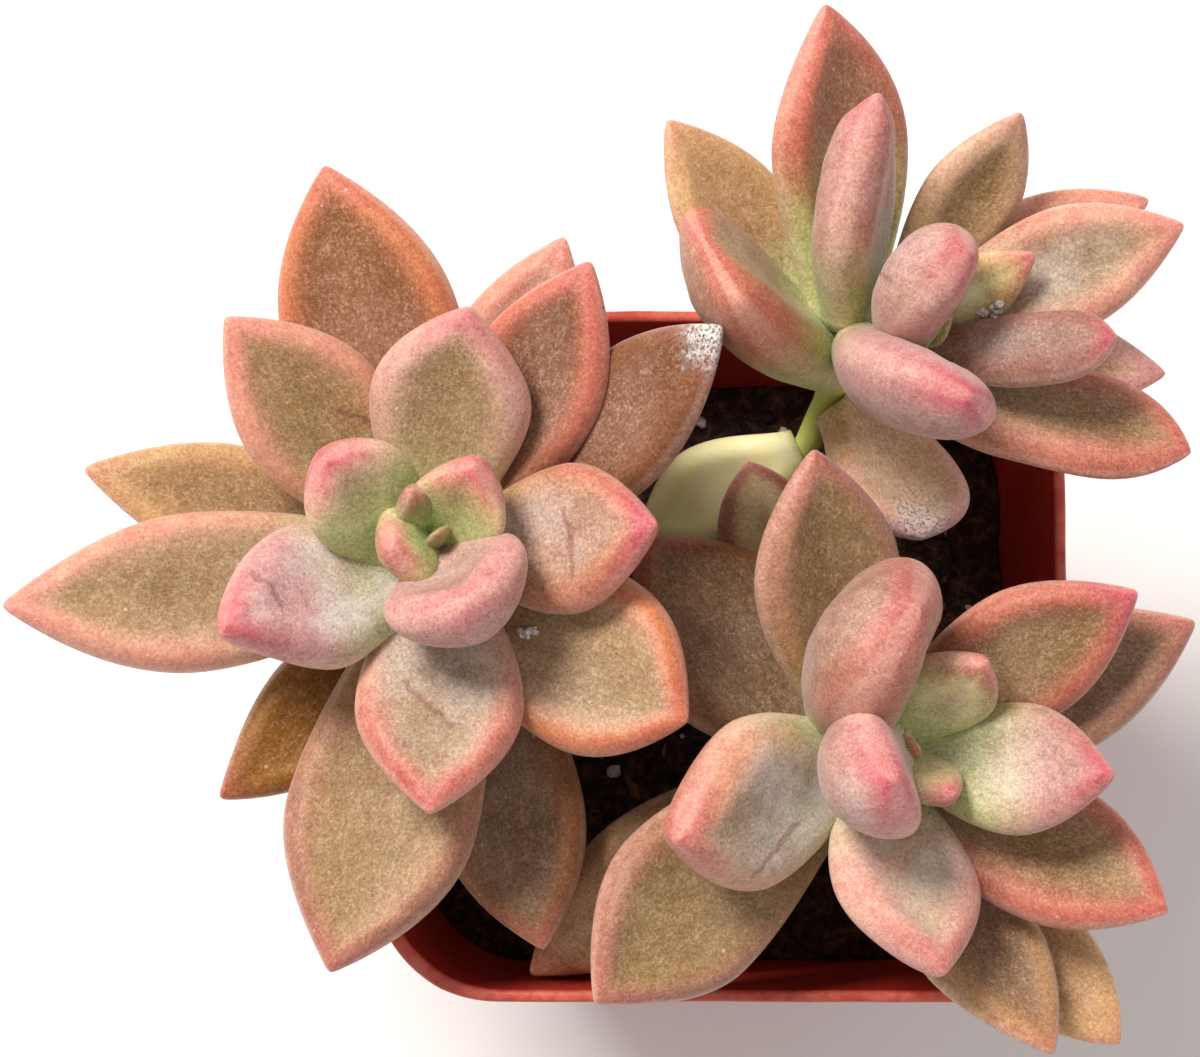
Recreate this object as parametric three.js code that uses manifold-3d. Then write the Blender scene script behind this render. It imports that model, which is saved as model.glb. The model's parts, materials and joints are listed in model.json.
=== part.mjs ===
// Potted ghost plant, Graptopetalum paraguayense: three leafy stems in a small square nursery pot.
// Millimetres, +Z up. The origin is the middle of the pot's flat base. Seen from above, +X is to the
// right and +Y is away from the viewer.
import * as THREE from 'three';
import { mergeVertices } from 'three/addons/utils/BufferGeometryUtils.js';
import Module from 'manifold-3d';

const wasm = await Module();
wasm.setup();

// Pot, injection moulded in one piece: half sizes are from the middle of the pot to a flat side
const POT_HEIGHT = 57;
const RIM_HALF = 32;
const BASE_HALF = 23;
const LIP = 1.1;
const WALL = 0.8;
const FLOOR = 1.5;
const BAND_DEPTH = 5;
const BAND_TAPER = 0.25;
const EDGE_ROUND = 0.4;
const FOOT_ROUND = 0.8;
const FLOOR_FILLET = 1.2;
const CORNER_SHARE = 0.36;
const CORNER_STEPS = 6;
const DRAIN_RADIUS = 3;
const DRAIN_OFFSET = 13;

// Potting mix, filled to well below the rim
const SOIL_TOP = 40;
const SOIL_RELIEF = 1.1;
const CLEARANCE = 0.3;

// Leaf form, shared by every leaf
const LEAF_SIDES = 8;
const LEAF_RINGS = 10;
const NECK = 0.38;
const FULLEST = 0.56;
const POINT = 1.9;
const PLUMP = 0.36;
const UPPER_SHARE = 0.42;
const BORDER = 1.9;
const BORDER_SHARE = 0.8;
const DISH = 0.7;
const DISH_ROOM = 3;
const KEEL = 0.35;
const CUP = 2;
const NUB = 0.3;
const NUB_REACH = 2;
const RING_SHIFT = 1.35;
const ROOT_SHIFT = 0.1;

// Stems: each is swollen where its leaves are rooted, and narrows to its growing tip
const STEM_SIDES = 10;
const STEM_STEPS = 12;
const SWOLLEN_SHARE = 0.42;
const TIP_SHARE = 0.6;

// Each rosette has its crown, how far its axis leans in X and Y for each unit of height, the points of
// its stem from the growing tip down into the mix, the stem's radius at the top and at the foot, and
// its leaves, the youngest first. A leaf's tip is given from the crown: its heading in degrees from
// +X, its reach along the ground and its lift above the crown. Drop is how far down the stem the leaf
// is rooted, and seat shifts its root in X and Y. Cup curves the leaf upwards, sway curves it to its
// left, roll turns its left edge up and curl lifts both edges. Fullest is where the leaf is widest, from
// root to tip, a larger point makes its tip blunter, plump is its thickness as a share of its width,
// and nub is the radius that its tip is rounded to.
const LEFT = {
  crown: [-25.4, 8.1, 74],
  lean: [0, 0.05],
  stem: [
    [-25.4, 8.1, 72.5], [-25.5, 8.3, 66], [-25, 8.4, 58], [-23.8, 8.5, 50], [-22.5, 8.6, 42],
    [-21.5, 8.6, 26],
  ],
  girth: [2.4, 1.7],
  leaves: [
    { heading: 340, reach: 0.3, lift: 4, drop: 0, width: 2, cup: 0, plump: 0.6 },
    { heading: 119, reach: 3.8, lift: 5.5, drop: 0, width: 4.8, cup: 0.5, curl: 0.3, plump: 0.6 },
    { heading: 204, reach: 4, lift: 5, drop: 0, width: 7.4, cup: 0.4, curl: 0.2, plump: 0.55 },
    {
      heading: 56, reach: 6.3, lift: 7, drop: 0, width: 8.6,
      cup: 1.5, curl: 2, plump: 0.55, seat: [0.7, -1.3],
    },
    {
      heading: 296, reach: 7.4, lift: 10, drop: 1.5, width: 13.2,
      cup: 4.4, curl: 1.6, point: 3.2, plump: 0.5, nub: 0.4, seat: [-1.2, 0.3],
    },
    {
      heading: 148, reach: 10.9, lift: 7, drop: 2, width: 10.2,
      sway: -1.4, curl: 1, point: 3, plump: 0.6, nub: 0.35, seat: [-2.6, -2.6],
    },
    {
      heading: 1, reach: 19, lift: 5.5, drop: 2.9, width: 13.2,
      cup: 2.5, point: 1.8, plump: 0.42, seat: [0, -0.6],
    },
    {
      heading: 207, reach: 20, lift: 6, drop: 3, width: 13.2,
      cup: 2.5, sway: -3.6, fullest: 0.45, plump: 0.5, nub: 0.35, seat: [-0.3, -3.8],
    },
    { heading: 81.5, reach: 19.5, lift: 5, drop: 4.1, width: 14.2, cup: 2.5, sway: 1.4, plump: 0.42 },
    { heading: 269.5, reach: 24, lift: 3, drop: 4.9, width: 14.6, cup: 2.5, sway: 0.8 },
    { heading: 61, reach: 27.5, lift: 2, drop: 5.7, width: 13, cup: 2.5, sway: -1.2, roll: -12 },
    { heading: 323.5, reach: 27, lift: 1, drop: 6.3, width: 16, sway: -1, roll: 12, point: 2.6 },
    { heading: 134, reach: 26.5, lift: 2, drop: 6.9, width: 13.4 },
    { heading: 189, reach: 38, lift: 0, drop: 7.7, width: 14.2, sway: 1.6 },
    { heading: 107, reach: 35, lift: -1, drop: 8.9, width: 16.4, sway: 0.5, roll: -16, point: 2.1 },
    { heading: 256, reach: 38.5, lift: -6, drop: 8.9, width: 17, cup: 1.5, sway: 1.6, fullest: 0.62 },
    {
      heading: 35, reach: 30, lift: 7, drop: 9.9, width: 13.2,
      cup: 3, sway: -1.4, roll: -20, point: 2.2,
    },
    {
      heading: 284.5, reach: 36.5, lift: -15, drop: 11.5, width: 13.8,
      cup: 1, roll: 14, fullest: 0.62, point: 2.2,
    },
    { heading: 167.5, reach: 32.5, lift: -6, drop: 10.9, width: 11, cup: 1.5 },
    { heading: 68.5, reach: 30, lift: -5, drop: 11.5, width: 12.5, cup: 1.5, sway: 0.6 },
    { heading: 228, reach: 29.5, lift: -11, drop: 12.1, width: 11, cup: 1, sway: 2.5, roll: -16 },
  ],
};
const RIGHT = {
  crown: [15.4, -9.6, 70],
  lean: [0.45, 0],
  stem: [
    [14.8, -9.6, 68.6], [13.2, -9.6, 65], [11.4, -10.1, 59], [11.1, -10.8, 50], [11.4, -10.8, 40],
    [12, -10.6, 26],
  ],
  girth: [2.4, 1.7],
  leaves: [
    { heading: 112, reach: 0.5, lift: 2, drop: 0, width: 2.2, cup: 0 },
    { heading: 341, reach: 1, lift: 3, drop: 0, width: 2.6, cup: 0 },
    { heading: 309, reach: 6, lift: 5, drop: 0, width: 5.4, cup: 0.8, plump: 0.6 },
    { heading: 45, reach: 9.2, lift: 7, drop: 0.3, width: 8.8, cup: 1.5, plump: 0.45 },
    {
      heading: 240, reach: 4.5, lift: 15, drop: 0.7, width: 11.6,
      cup: 5, curl: 1, point: 3, plump: 0.65, nub: 0.45, seat: [1.2, 0.4],
    },
    { heading: 350, reach: 17.5, lift: 6, drop: 1.7, width: 11.6, sway: -0.4, plump: 0.45 },
    {
      heading: 90, reach: 10.8, lift: 13.5, drop: 1.8, width: 15.5,
      cup: 3, sway: 1.5, roll: 42, point: 4, plump: 0.62, seat: [-2, -0.3],
    },
    {
      heading: 203.5, reach: 22.2, lift: 10, drop: 3.1, width: 15.4,
      cup: 3, roll: -20, point: 1.7, plump: 0.5,
    },
    { heading: 277.5, reach: 20, lift: 5, drop: 3.7, width: 13.8, sway: -0.6, plump: 0.42 },
    { heading: 33, reach: 24, lift: 3, drop: 4.5, width: 12.2 },
    { heading: 107.5, reach: 26.5, lift: 5, drop: 5.3, width: 14.6, sway: 0.8 },
    { heading: 327.5, reach: 27, lift: -1, drop: 6.1, width: 13.4, sway: 0.6, point: 2.3 },
    { heading: 219.5, reach: 35, lift: 0, drop: 6.9, width: 15.8, sway: -1.4, fullest: 0.62 },
    { heading: 23, reach: 28.5, lift: -3, drop: 7.7, width: 13, cup: 1.5, sway: -1.5 },
    {
      heading: 295.5, reach: 29.5, lift: -2, drop: 10.3, width: 12,
      cup: 1.5, sway: 1.8, seat: [1, -2.5],
    },
    { heading: 139.5, reach: 30, lift: -7, drop: 11.3, width: 17, cup: 1.5, sway: 1.2 },
    {
      heading: 307, reach: 32.5, lift: -8.5, drop: 12.5, width: 10.4,
      cup: 0.5, sway: 0.8, roll: 16, point: 3.2,
    },
    { heading: 115.5, reach: 30, lift: -12, drop: 15, width: 9.8, cup: 1, roll: -24, point: 4 },
    { heading: 211, reach: 38.5, lift: -18, drop: 14.3, width: 13.5, cup: 1, sway: -1.5 },
  ],
};
const BACK = {
  crown: [18.1, 25.2, 82],
  lean: [0.62, 0.1],
  stem: [
    [15.6, 25.6, 76], [12.7, 25.7, 71.5], [10.9, 25.1, 66.5], [10, 23.6, 60],
    [7.8, 18.7, 54], [6.9, 15.9, 45], [7.4, 16.5, 26],
  ],
  girth: [2.1, 1.2],
  leaves: [
    { heading: 52, reach: 1.2, lift: -1, drop: 0, width: 3.4, cup: 0.5 },
    { heading: 190, reach: 1.4, lift: -1, drop: 0, width: 3, cup: 0.5 },
    { heading: 39.6, reach: 10.5, lift: -2, drop: 0, width: 5.8, cup: 0.5, point: 1.6 },
    {
      heading: 74, reach: 4.9, lift: 7, drop: 1, width: 9.3,
      cup: 3, roll: 10, point: 3, plump: 0.75, nub: 0.4, seat: [1.4, -1.1],
    },
    {
      heading: 354.5, reach: 14.3, lift: 2, drop: 0, width: 6.2,
      cup: 1.5, sway: -0.8, point: 4.5, plump: 0.75, nub: 0.45, seat: [0, -1],
    },
    { heading: 24.5, reach: 23.5, lift: -4, drop: 0, width: 10.8, cup: 1.5, sway: 0.5 },
    {
      heading: 278, reach: 7.9, lift: 9, drop: 4.5, width: 11.5,
      cup: 2.2, point: 4, plump: 0.62, nub: 0.5, seat: [-1.2, 0.8],
    },
    {
      heading: 335.5, reach: 24, lift: -6, drop: 3, width: 10.2,
      cup: 1.5, sway: 1.2, fullest: 0.42, point: 4.5, plump: 0.42, seat: [-1, -2.5],
    },
    { heading: 355, reach: 21, lift: -12, drop: 2.5, width: 9, cup: 1.5, roll: 20 },
    { heading: 35, reach: 24, lift: -11, drop: 1.5, width: 9, cup: 1.5, sway: 2, roll: -14 },
    { heading: 69.5, reach: 20.5, lift: -2, drop: 3.5, width: 9.2, cup: 1.5, sway: -1.4, seat: [1, 2] },
    {
      heading: 106.5, reach: 20, lift: 4, drop: 5, width: 12,
      cup: 1.5, sway: 0.4, roll: 30, fullest: 0.42, point: 1.5, plump: 0.5, seat: [-1.5, 0.8],
    },
    {
      heading: 108.5, reach: 30.5, lift: -2, drop: 8.1, width: 14.6,
      cup: 1.5, sway: -2.9, seat: [-1.2, 0.6],
    },
    {
      heading: 159.5, reach: 21.8, lift: -1, drop: 10.5, width: 15,
      sway: 1.6, roll: 40, fullest: 0.76, point: 6, plump: 0.5, seat: [0.4, -0.6],
    },
    {
      heading: 139.5, reach: 30.7, lift: -7, drop: 11.2, width: 11.2,
      cup: 1.5, roll: -10, seat: [-0.5, 1.4],
    },
    {
      heading: 269.5, reach: 15.7, lift: -18, drop: 16.4, width: 13.8,
      cup: 1.5, sway: 2.6, fullest: 0.66, point: 2.8,
    },
    { heading: 208, reach: 28.9, lift: -29, drop: 24.2, width: 9.5, cup: 1 },
  ],
};

// Solids

function solidOf(geometry) {
  const bare = geometry.index ? geometry.clone() : geometry;
  bare.deleteAttribute('normal');
  bare.deleteAttribute('uv');
  const merged = mergeVertices(bare, 1e-4);
  return new wasm.Manifold(new wasm.Mesh({
    numProp: 3,
    vertProperties: new Float32Array(merged.attributes.position.array),
    triVerts: new Uint32Array(merged.index.array),
  }));
}

function geometryOf(solid) {
  const mesh = solid.getMesh();
  const geometry = new THREE.BufferGeometry();
  geometry.setAttribute('position', new THREE.BufferAttribute(mesh.vertProperties, 3));
  geometry.setIndex(new THREE.BufferAttribute(mesh.triVerts, 1));
  geometry.computeVertexNormals();
  return geometry;
}

function largestPiece(solid) {
  const pieces = solid.decompose();
  return pieces.reduce((best, piece) => (piece.volume() > best.volume() ? piece : best));
}

// A lathe turned on a rounded square instead of a circle: each profile point is [half size, height].
// Every quarter turn has the middle of a flat side and then the points of its corner arc.
function squareLathe(profile) {
  const columns = CORNER_STEPS + 2;
  const points = profile.map(([half, z]) => new THREE.Vector2(half, z));
  const geometry = new THREE.LatheGeometry(points, 4 * columns);
  const { position, uv } = geometry.attributes;
  for (let i = 0; i < position.count; i += 1) {
    const half = profile[Math.round(uv.getY(i) * (profile.length - 1))][0];
    const column = Math.round(uv.getX(i) * 4 * columns) % (4 * columns);
    const [x, y] = squarePoint(half, Math.floor(column / columns), column % columns);
    position.setXYZ(i, x, y, position.getY(i));
  }
  return geometry;
}

function squarePoint(half, quarter, step) {
  const turn = (quarter - 1) * Math.PI / 2;
  const radius = CORNER_SHARE * half;
  const swing = Math.PI / 2 * (step - 1) / CORNER_STEPS;
  const out = step === 0 ? half : half - radius + radius * Math.cos(swing);
  const across = step === 0 ? 0 : half - radius + radius * Math.sin(swing);
  return [out * Math.cos(turn) - across * Math.sin(turn), out * Math.sin(turn) + across * Math.cos(turn)];
}

// Pot

const BAND_FOOT = POT_HEIGHT - BAND_DEPTH;
const WALL_TOP_HALF = RIM_HALF - LIP + WALL;

function outerHalf(z) {
  return BASE_HALF + (WALL_TOP_HALF - BASE_HALF) * z / POT_HEIGHT;
}

function innerHalf(z) {
  return outerHalf(z) - WALL;
}

function potSolid() {
  const profile = [
    [0, 0],
    [BASE_HALF - FOOT_ROUND, 0],
    [outerHalf(FOOT_ROUND), FOOT_ROUND],
    [outerHalf(BAND_FOOT), BAND_FOOT],
    [RIM_HALF - BAND_TAPER, BAND_FOOT + EDGE_ROUND],
    [RIM_HALF, POT_HEIGHT - EDGE_ROUND],
    [RIM_HALF - EDGE_ROUND, POT_HEIGHT],
    [RIM_HALF - LIP + EDGE_ROUND, POT_HEIGHT],
    [RIM_HALF - LIP, POT_HEIGHT - EDGE_ROUND],
    [innerHalf(FLOOR + FLOOR_FILLET), FLOOR + FLOOR_FILLET],
    [innerHalf(FLOOR) - FLOOR_FILLET, FLOOR],
    [0, FLOOR],
  ];
  let pot = solidOf(squareLathe(profile));
  for (const x of [-DRAIN_OFFSET, DRAIN_OFFSET]) {
    for (const y of [-DRAIN_OFFSET, DRAIN_OFFSET]) {
      const drill = new THREE.CylinderGeometry(DRAIN_RADIUS, DRAIN_RADIUS, 3 * FLOOR, 16);
      drill.rotateX(Math.PI / 2);
      drill.translate(x, y, 0);
      pot = pot.subtract(solidOf(drill));
    }
  }
  return pot;
}

// Potting mix

function soilHeight(x, y) {
  const rolls = Math.sin(0.21 * x + 1.1) * Math.cos(0.17 * y - 0.4);
  const lumps = Math.sin(0.63 * x - 0.5 * y) + Math.cos(0.48 * x + 0.71 * y + 0.8);
  return SOIL_TOP + SOIL_RELIEF * (0.6 * rolls + 0.3 * lumps);
}

function soilBlock() {
  const edge = innerHalf(SOIL_TOP - SOIL_RELIEF) - CLEARANCE;
  const rings = [0.84, 0.63, 0.42, 0.21, 0].map((share) => [share * edge, SOIL_TOP]);
  const profile = [
    [0, FLOOR],
    [innerHalf(FLOOR) - FLOOR_FILLET - CLEARANCE, FLOOR],
    [innerHalf(FLOOR + FLOOR_FILLET) - CLEARANCE, FLOOR + FLOOR_FILLET],
    [edge, SOIL_TOP - SOIL_RELIEF],
    ...rings,
  ];
  const geometry = squareLathe(profile);
  const { position } = geometry.attributes;
  for (let i = 0; i < position.count; i += 1) {
    if (position.getZ(i) > SOIL_TOP - 0.1) {
      position.setZ(i, soilHeight(position.getX(i), position.getY(i)));
    }
  }
  return solidOf(geometry);
}

function soilSolid() {
  const holes = [LEFT, RIGHT, BACK].map((rosette) => stemSolid(rosette, CLEARANCE));
  return holes.reduce((soil, hole) => soil.subtract(hole), soilBlock());
}

// Stems

function stemPoints(rosette) {
  return rosette.stem.map((point) => new THREE.Vector3(...point));
}

function stemPointAt(rosette, drop) {
  const points = stemPoints(rosette);
  let left = drop;
  for (let i = 0; i + 1 < points.length; i += 1) {
    const step = points[i].distanceTo(points[i + 1]);
    if (left <= step) {
      return points[i].clone().lerp(points[i + 1], left / step);
    }
    left -= step;
  }
  return points[points.length - 1];
}

// A tapered stem swept along its curve, with room to spare all round when it is cut as a hole
function stemSolid(rosette, spare = 0) {
  const curve = new THREE.CatmullRomCurve3(stemPoints(rosette));
  const [top, foot] = rosette.girth;
  const geometry = new THREE.CylinderGeometry(1, 1, 1, STEM_SIDES, STEM_STEPS);
  const { position } = geometry.attributes;
  const away = new THREE.Vector3(0, 1, 0);
  for (let i = 0; i < position.count; i += 1) {
    const down = 0.5 - position.getY(i);
    const rise = curve.getTangentAt(down).negate();
    const across = away.clone().addScaledVector(rise, -away.dot(rise)).normalize();
    const side = new THREE.Vector3().crossVectors(across, rise);
    const taper = foot + (top - foot) * Math.max(0, 1 - down / SWOLLEN_SHARE) ** 1.5;
    const radius = spare + taper * Math.min(1, TIP_SHARE + 4 * down);
    const point = curve.getPointAt(down);
    point.addScaledVector(across, radius * position.getX(i));
    point.addScaledVector(side, radius * position.getZ(i));
    point.addScaledVector(rise, down === 1 ? -spare : 0);
    position.setXYZ(i, point.x, point.y, point.z);
  }
  return solidOf(geometry);
}

// Leaves

function outlineAt(along, fullest, point) {
  if (along < fullest) {
    return NECK + (1 - NECK) * Math.sin(along / fullest * Math.PI / 2) ** 1.25;
  }
  return 1 - ((along - fullest) / (1 - fullest)) ** point;
}

function fullnessAt(along) {
  if (along < 0.5) {
    return 0.72 + 0.28 * Math.sin(along * Math.PI);
  }
  return Math.max(0, 1 - (2 * along - 1) ** 3) ** 0.62;
}

// One point of a cross-section, across the leaf and above its middle. The upper face is a shallow dish
// inside a raised border of even width, and the lower face is a belly that sharpens to a keel towards
// the tip. The plumper the leaf, the wider its border and the shallower its dish and its keel. The
// points midway from the keel line to the edges stand on the border's inner edge above. The rounding
// widens the leaf most at its tip, which would otherwise come to a point.
function sectionPoint(along, fromTip, turn, leaf) {
  const outline = leaf.width / 2 * outlineAt(along, leaf.fullest ?? FULLEST, leaf.point ?? POINT);
  const rounding = 2 * (leaf.nub ?? NUB) * fromTip / (1 + fromTip / NUB_REACH);
  const half = Math.sqrt(outline ** 2 + rounding);
  const fullness = fullnessAt(along);
  const plump = leaf.plump ?? PLUMP;
  const thick = plump * leaf.width * fullness;
  const swing = Math.cos(turn);
  const lifted = (across) => (leaf.curl ?? 0) * (across * half / (leaf.width / 2)) ** 2;
  if (Math.sin(turn) > -1e-9) {
    const border = Math.min(BORDER * (plump / PLUMP) ** 1.5, BORDER_SHARE * half);
    const shoulder = Math.max(1 - border / half, 0.5);
    const midway = Math.abs(swing) > 0.1 && Math.abs(swing) < 0.9;
    const across = midway ? Math.sign(swing) * shoulder : swing;
    const inset = Math.min((1 - Math.abs(across)) * half / border, 1);
    const within = Math.min(Math.abs(across) * half / (half - border), 1);
    const room = Math.min(1, along / 0.3) * Math.min(1, (half - border) / DISH_ROOM);
    const dish = DISH / (plump / PLUMP) ** 2 * fullness * room * (1 - within ** 2);
    const height = Math.min(UPPER_SHARE * thick, half);
    return [across * half, lifted(across) + height * Math.sqrt(1 - (1 - inset) ** 2) - dish];
  }
  const keel = KEEL / (plump / PLUMP) ** 2 * THREE.MathUtils.clamp((along - 0.3) / 0.5, 0, 1);
  const belly = (1 - keel) * Math.sqrt(1 - swing ** 2) + keel * (1 - Math.abs(swing));
  const depth = Math.min((1 - UPPER_SHARE) * thick, 1.2 * half);
  return [swing * half, lifted(swing) - depth * belly];
}

// Where a leaf starts, ends and faces. Its upper face looks towards the axis of its rosette.
function leafFrame(leaf, rosette) {
  const crown = new THREE.Vector3(...rosette.crown);
  const axis = new THREE.Vector3(...rosette.lean, 1).normalize();
  const heading = THREE.MathUtils.degToRad(leaf.heading);
  const tip = new THREE.Vector3(Math.cos(heading), Math.sin(heading), 0);
  tip.multiplyScalar(leaf.reach).setZ(leaf.lift).add(crown);
  const root = stemPointAt(rosette, leaf.drop).add(new THREE.Vector3(...(leaf.seat ?? [0, 0]), 0));
  const out = tip.clone().sub(root);
  out.addScaledVector(axis, -out.dot(axis)).normalize();
  root.addScaledVector(out, ROOT_SHIFT * leaf.width);
  const chord = tip.clone().sub(root).normalize();
  const side = new THREE.Vector3().crossVectors(axis, chord).normalize();
  const up = new THREE.Vector3().crossVectors(chord, side);
  const bend = new THREE.Vector3().addVectors(root, tip).multiplyScalar(0.5);
  bend.addScaledVector(up, -(leaf.cup ?? CUP)).addScaledVector(side, leaf.sway ?? 0);
  return { curve: new THREE.QuadraticBezierCurve3(root, bend, tip), side };
}

// The rings of a sphere become the leaf's cross-sections: its lower pole closes the root and its
// upper pole is the tip. The rings stand closer together towards the tip.
function leafSolid(leaf, rosette) {
  const { curve, side } = leafFrame(leaf, rosette);
  const geometry = new THREE.SphereGeometry(1, LEAF_SIDES, LEAF_RINGS);
  const { position, uv } = geometry.attributes;
  const roll = THREE.MathUtils.degToRad(leaf.roll ?? 0);
  for (let i = 0; i < position.count; i += 1) {
    const ring = Math.round(uv.getY(i) * LEAF_RINGS);
    const column = Math.round(uv.getX(i) * LEAF_SIDES) % LEAF_SIDES;
    const along = ring < 2 ? 0 : 1 - (1 - (ring - 1) / (LEAF_RINGS - 1)) ** RING_SHIFT;
    const point = curve.getPoint(along);
    const fromTip = point.distanceTo(curve.v2);
    const [across, above] = sectionPoint(along, fromTip, 2 * Math.PI * column / LEAF_SIDES, leaf);
    if (ring > 0 && ring < LEAF_RINGS) {
      const tangent = curve.getTangent(along);
      const level = side.clone().addScaledVector(tangent, -side.dot(tangent)).normalize();
      level.applyAxisAngle(tangent, roll);
      const upward = new THREE.Vector3().crossVectors(tangent, level);
      point.addScaledVector(level, across).addScaledVector(upward, above);
    }
    position.setXYZ(i, point.x, point.y, point.z);
  }
  return solidOf(geometry);
}

// A leafy stem that grew as one piece, its leaves joined to the stem and to each other
function plantSolid(rosette) {
  const leaves = rosette.leaves.map((leaf) => leafSolid(leaf, rosette));
  return largestPiece(leaves.reduce((plant, leaf) => plant.add(leaf), stemSolid(rosette)));
}

// Materials

const moulded = new THREE.MeshStandardMaterial({ color: '#9c3a2c', roughness: 0.45, metalness: 0 });
const mix = new THREE.MeshStandardMaterial({ color: '#2c211b', roughness: 0.95, metalness: 0 });
const foliage = new THREE.MeshStandardMaterial({ color: '#bd8f70', roughness: 0.6, metalness: 0 });

function piece(name, solid, material) {
  const mesh = new THREE.Mesh(geometryOf(solid), material);
  mesh.name = name;
  return mesh;
}

const pottedPlant = new THREE.Group();
pottedPlant.add(
  piece('pot', potSolid(), moulded),
  piece('soil', soilSolid(), mix),
  piece('plant_left', plantSolid(LEFT), foliage),
  piece('plant_right', plantSolid(RIGHT), foliage),
  piece('plant_back', plantSolid(BACK), foliage),
);

export default pottedPlant;
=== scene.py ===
import json
import math

import bpy
import numpy as np
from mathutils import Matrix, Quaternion, Vector, noise
from mathutils.bvhtree import BVHTree

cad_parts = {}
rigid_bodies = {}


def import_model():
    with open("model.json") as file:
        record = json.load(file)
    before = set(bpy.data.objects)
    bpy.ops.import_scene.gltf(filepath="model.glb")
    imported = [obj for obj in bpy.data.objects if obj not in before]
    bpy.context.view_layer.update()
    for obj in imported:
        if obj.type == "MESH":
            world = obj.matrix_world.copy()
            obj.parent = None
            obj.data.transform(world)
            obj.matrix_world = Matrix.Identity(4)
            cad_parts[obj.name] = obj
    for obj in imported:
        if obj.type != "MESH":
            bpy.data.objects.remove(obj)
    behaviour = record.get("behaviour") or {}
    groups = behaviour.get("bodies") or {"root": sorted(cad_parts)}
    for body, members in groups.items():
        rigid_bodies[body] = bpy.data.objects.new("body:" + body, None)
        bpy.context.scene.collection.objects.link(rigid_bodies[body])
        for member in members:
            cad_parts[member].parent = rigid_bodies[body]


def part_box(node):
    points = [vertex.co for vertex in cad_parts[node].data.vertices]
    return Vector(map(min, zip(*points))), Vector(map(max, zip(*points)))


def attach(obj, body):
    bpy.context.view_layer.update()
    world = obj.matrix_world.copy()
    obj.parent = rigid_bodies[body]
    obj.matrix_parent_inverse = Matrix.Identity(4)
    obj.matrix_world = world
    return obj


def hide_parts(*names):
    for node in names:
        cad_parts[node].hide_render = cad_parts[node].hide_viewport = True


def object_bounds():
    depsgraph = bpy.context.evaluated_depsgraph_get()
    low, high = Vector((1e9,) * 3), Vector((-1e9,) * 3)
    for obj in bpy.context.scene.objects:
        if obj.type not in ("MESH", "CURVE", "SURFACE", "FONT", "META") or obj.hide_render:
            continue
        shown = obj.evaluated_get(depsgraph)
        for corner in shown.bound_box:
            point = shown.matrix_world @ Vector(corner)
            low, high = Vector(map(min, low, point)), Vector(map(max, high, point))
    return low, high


bl_info = {
    "name": "Potted ghost plant",
    "version": (1, 0, 0),
    "blender": (4, 5, 0),
    "location": "3D View > Sidebar > Ghost plant",
    "description": "Builds a potted ghost plant, its nursery pot, its potting mix and a studio stage",
    "category": "Object",
}

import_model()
CAD_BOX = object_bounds()
MM = 0.001

# The pot's outer size and the height of its floor come from the frame
POT_LOW, POT_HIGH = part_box("pot")
SOIL_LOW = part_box("soil")[0]
RIM_HALF = (POT_HIGH.x - POT_LOW.x) / 2 / MM
POT_HEIGHT = (POT_HIGH.z - POT_LOW.z) / MM
FLOOR_THICKNESS = SOIL_LOW.z / MM
BASE_HALF = 23
LIP = 1.1
WALL = 0.8
BAND_DEPTH = 5
BAND_TAPER = 0.2
EDGE_ROUND = 0.4
FOOT_ROUND = 0.8
FLOOR_FILLET = 1.2
FLOOR_TURN = 2.7
LIP_ROUND_SHARE = 0.42
SMALLEST_RING = 0.01
CORNER_SHARE = 0.36
DRAIN_RADIUS = 3
DRAIN_OFFSET = 13
SOIL_TOP = 40
SOIL_RELIEF = 1.1
WALL_GAP = 0.15
WALL_SINK = 0.8
SINK_START = 0.96

# How far the thin lip strays from flat: by waves of a height, a number round the rim and a start
LIP_WAVES = ((0.12, 3, 0.6), (0.07, 11, 0), (0.04, 23, 1.4))

# Leaf form, shared by every leaf: shares of its length or width where not a length
NECK = 0.38
NECK_CURVE = 1.25
ROOT_FULLNESS = 0.72
TIP_HOLD = 3
TIP_CURVE = 0.62
FULLEST = 0.56
POINT = 1.9
PLUMP = 0.36
UPPER_SHARE = 0.42
BORDER = 1.9
BORDER_SHARE = 0.8
BORDER_GROWTH = 1.5
DISH = 0.7
DISH_START = 0.3
DISH_ROOM = 3
KEEL = 0.35
KEEL_START = 0.3
KEEL_RUN = 0.5
CUP = 2
ROOT_SHIFT = 0.1
RING_SHIFT = 1.5
NUB = 0.3
NUB_REACH = 2
SWELL = 0.1
TYPICAL_WIDTH = 12
TINY = 1e-9

# A leaf without a healed crack has it where its skin never reaches
NO_SCAR = ((1000, 1000), (1000, 1001), 0.5)
PATCH_RANGE = 400

# Stems: each is swollen where its leaves are rooted, and narrows to its growing tip
SWOLLEN_SHARE = 0.42
TIP_SHARE = 0.6
STEM_STEPS = 60
STEM_SIDES = 20

# Camera: the photo was taken from above and a little in front, with a long lens
IMAGE_WIDTH = 1200
FOCAL_PIXELS = 3058
SENSOR = 36
CAMERA_PLACE = (-11.2, -29.0, 337.0)
CAMERA_TILT = 8.2

# Studio: an even white sky, and lamps by name, place and width in metres, power in watts and colour
SKY_STRENGTH = 0.47
LAMPS = (
    ("key light", (-0.4, 0.42, 0.8), 0.34, 10.8, "#fffaf4"),
    ("fill light", (0.6, -0.35, 0.6), 0.6, 0.8, "#f4f7ff"),
)
AIM_HEIGHT = 60
FLOOR_REACH = 2000

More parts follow.
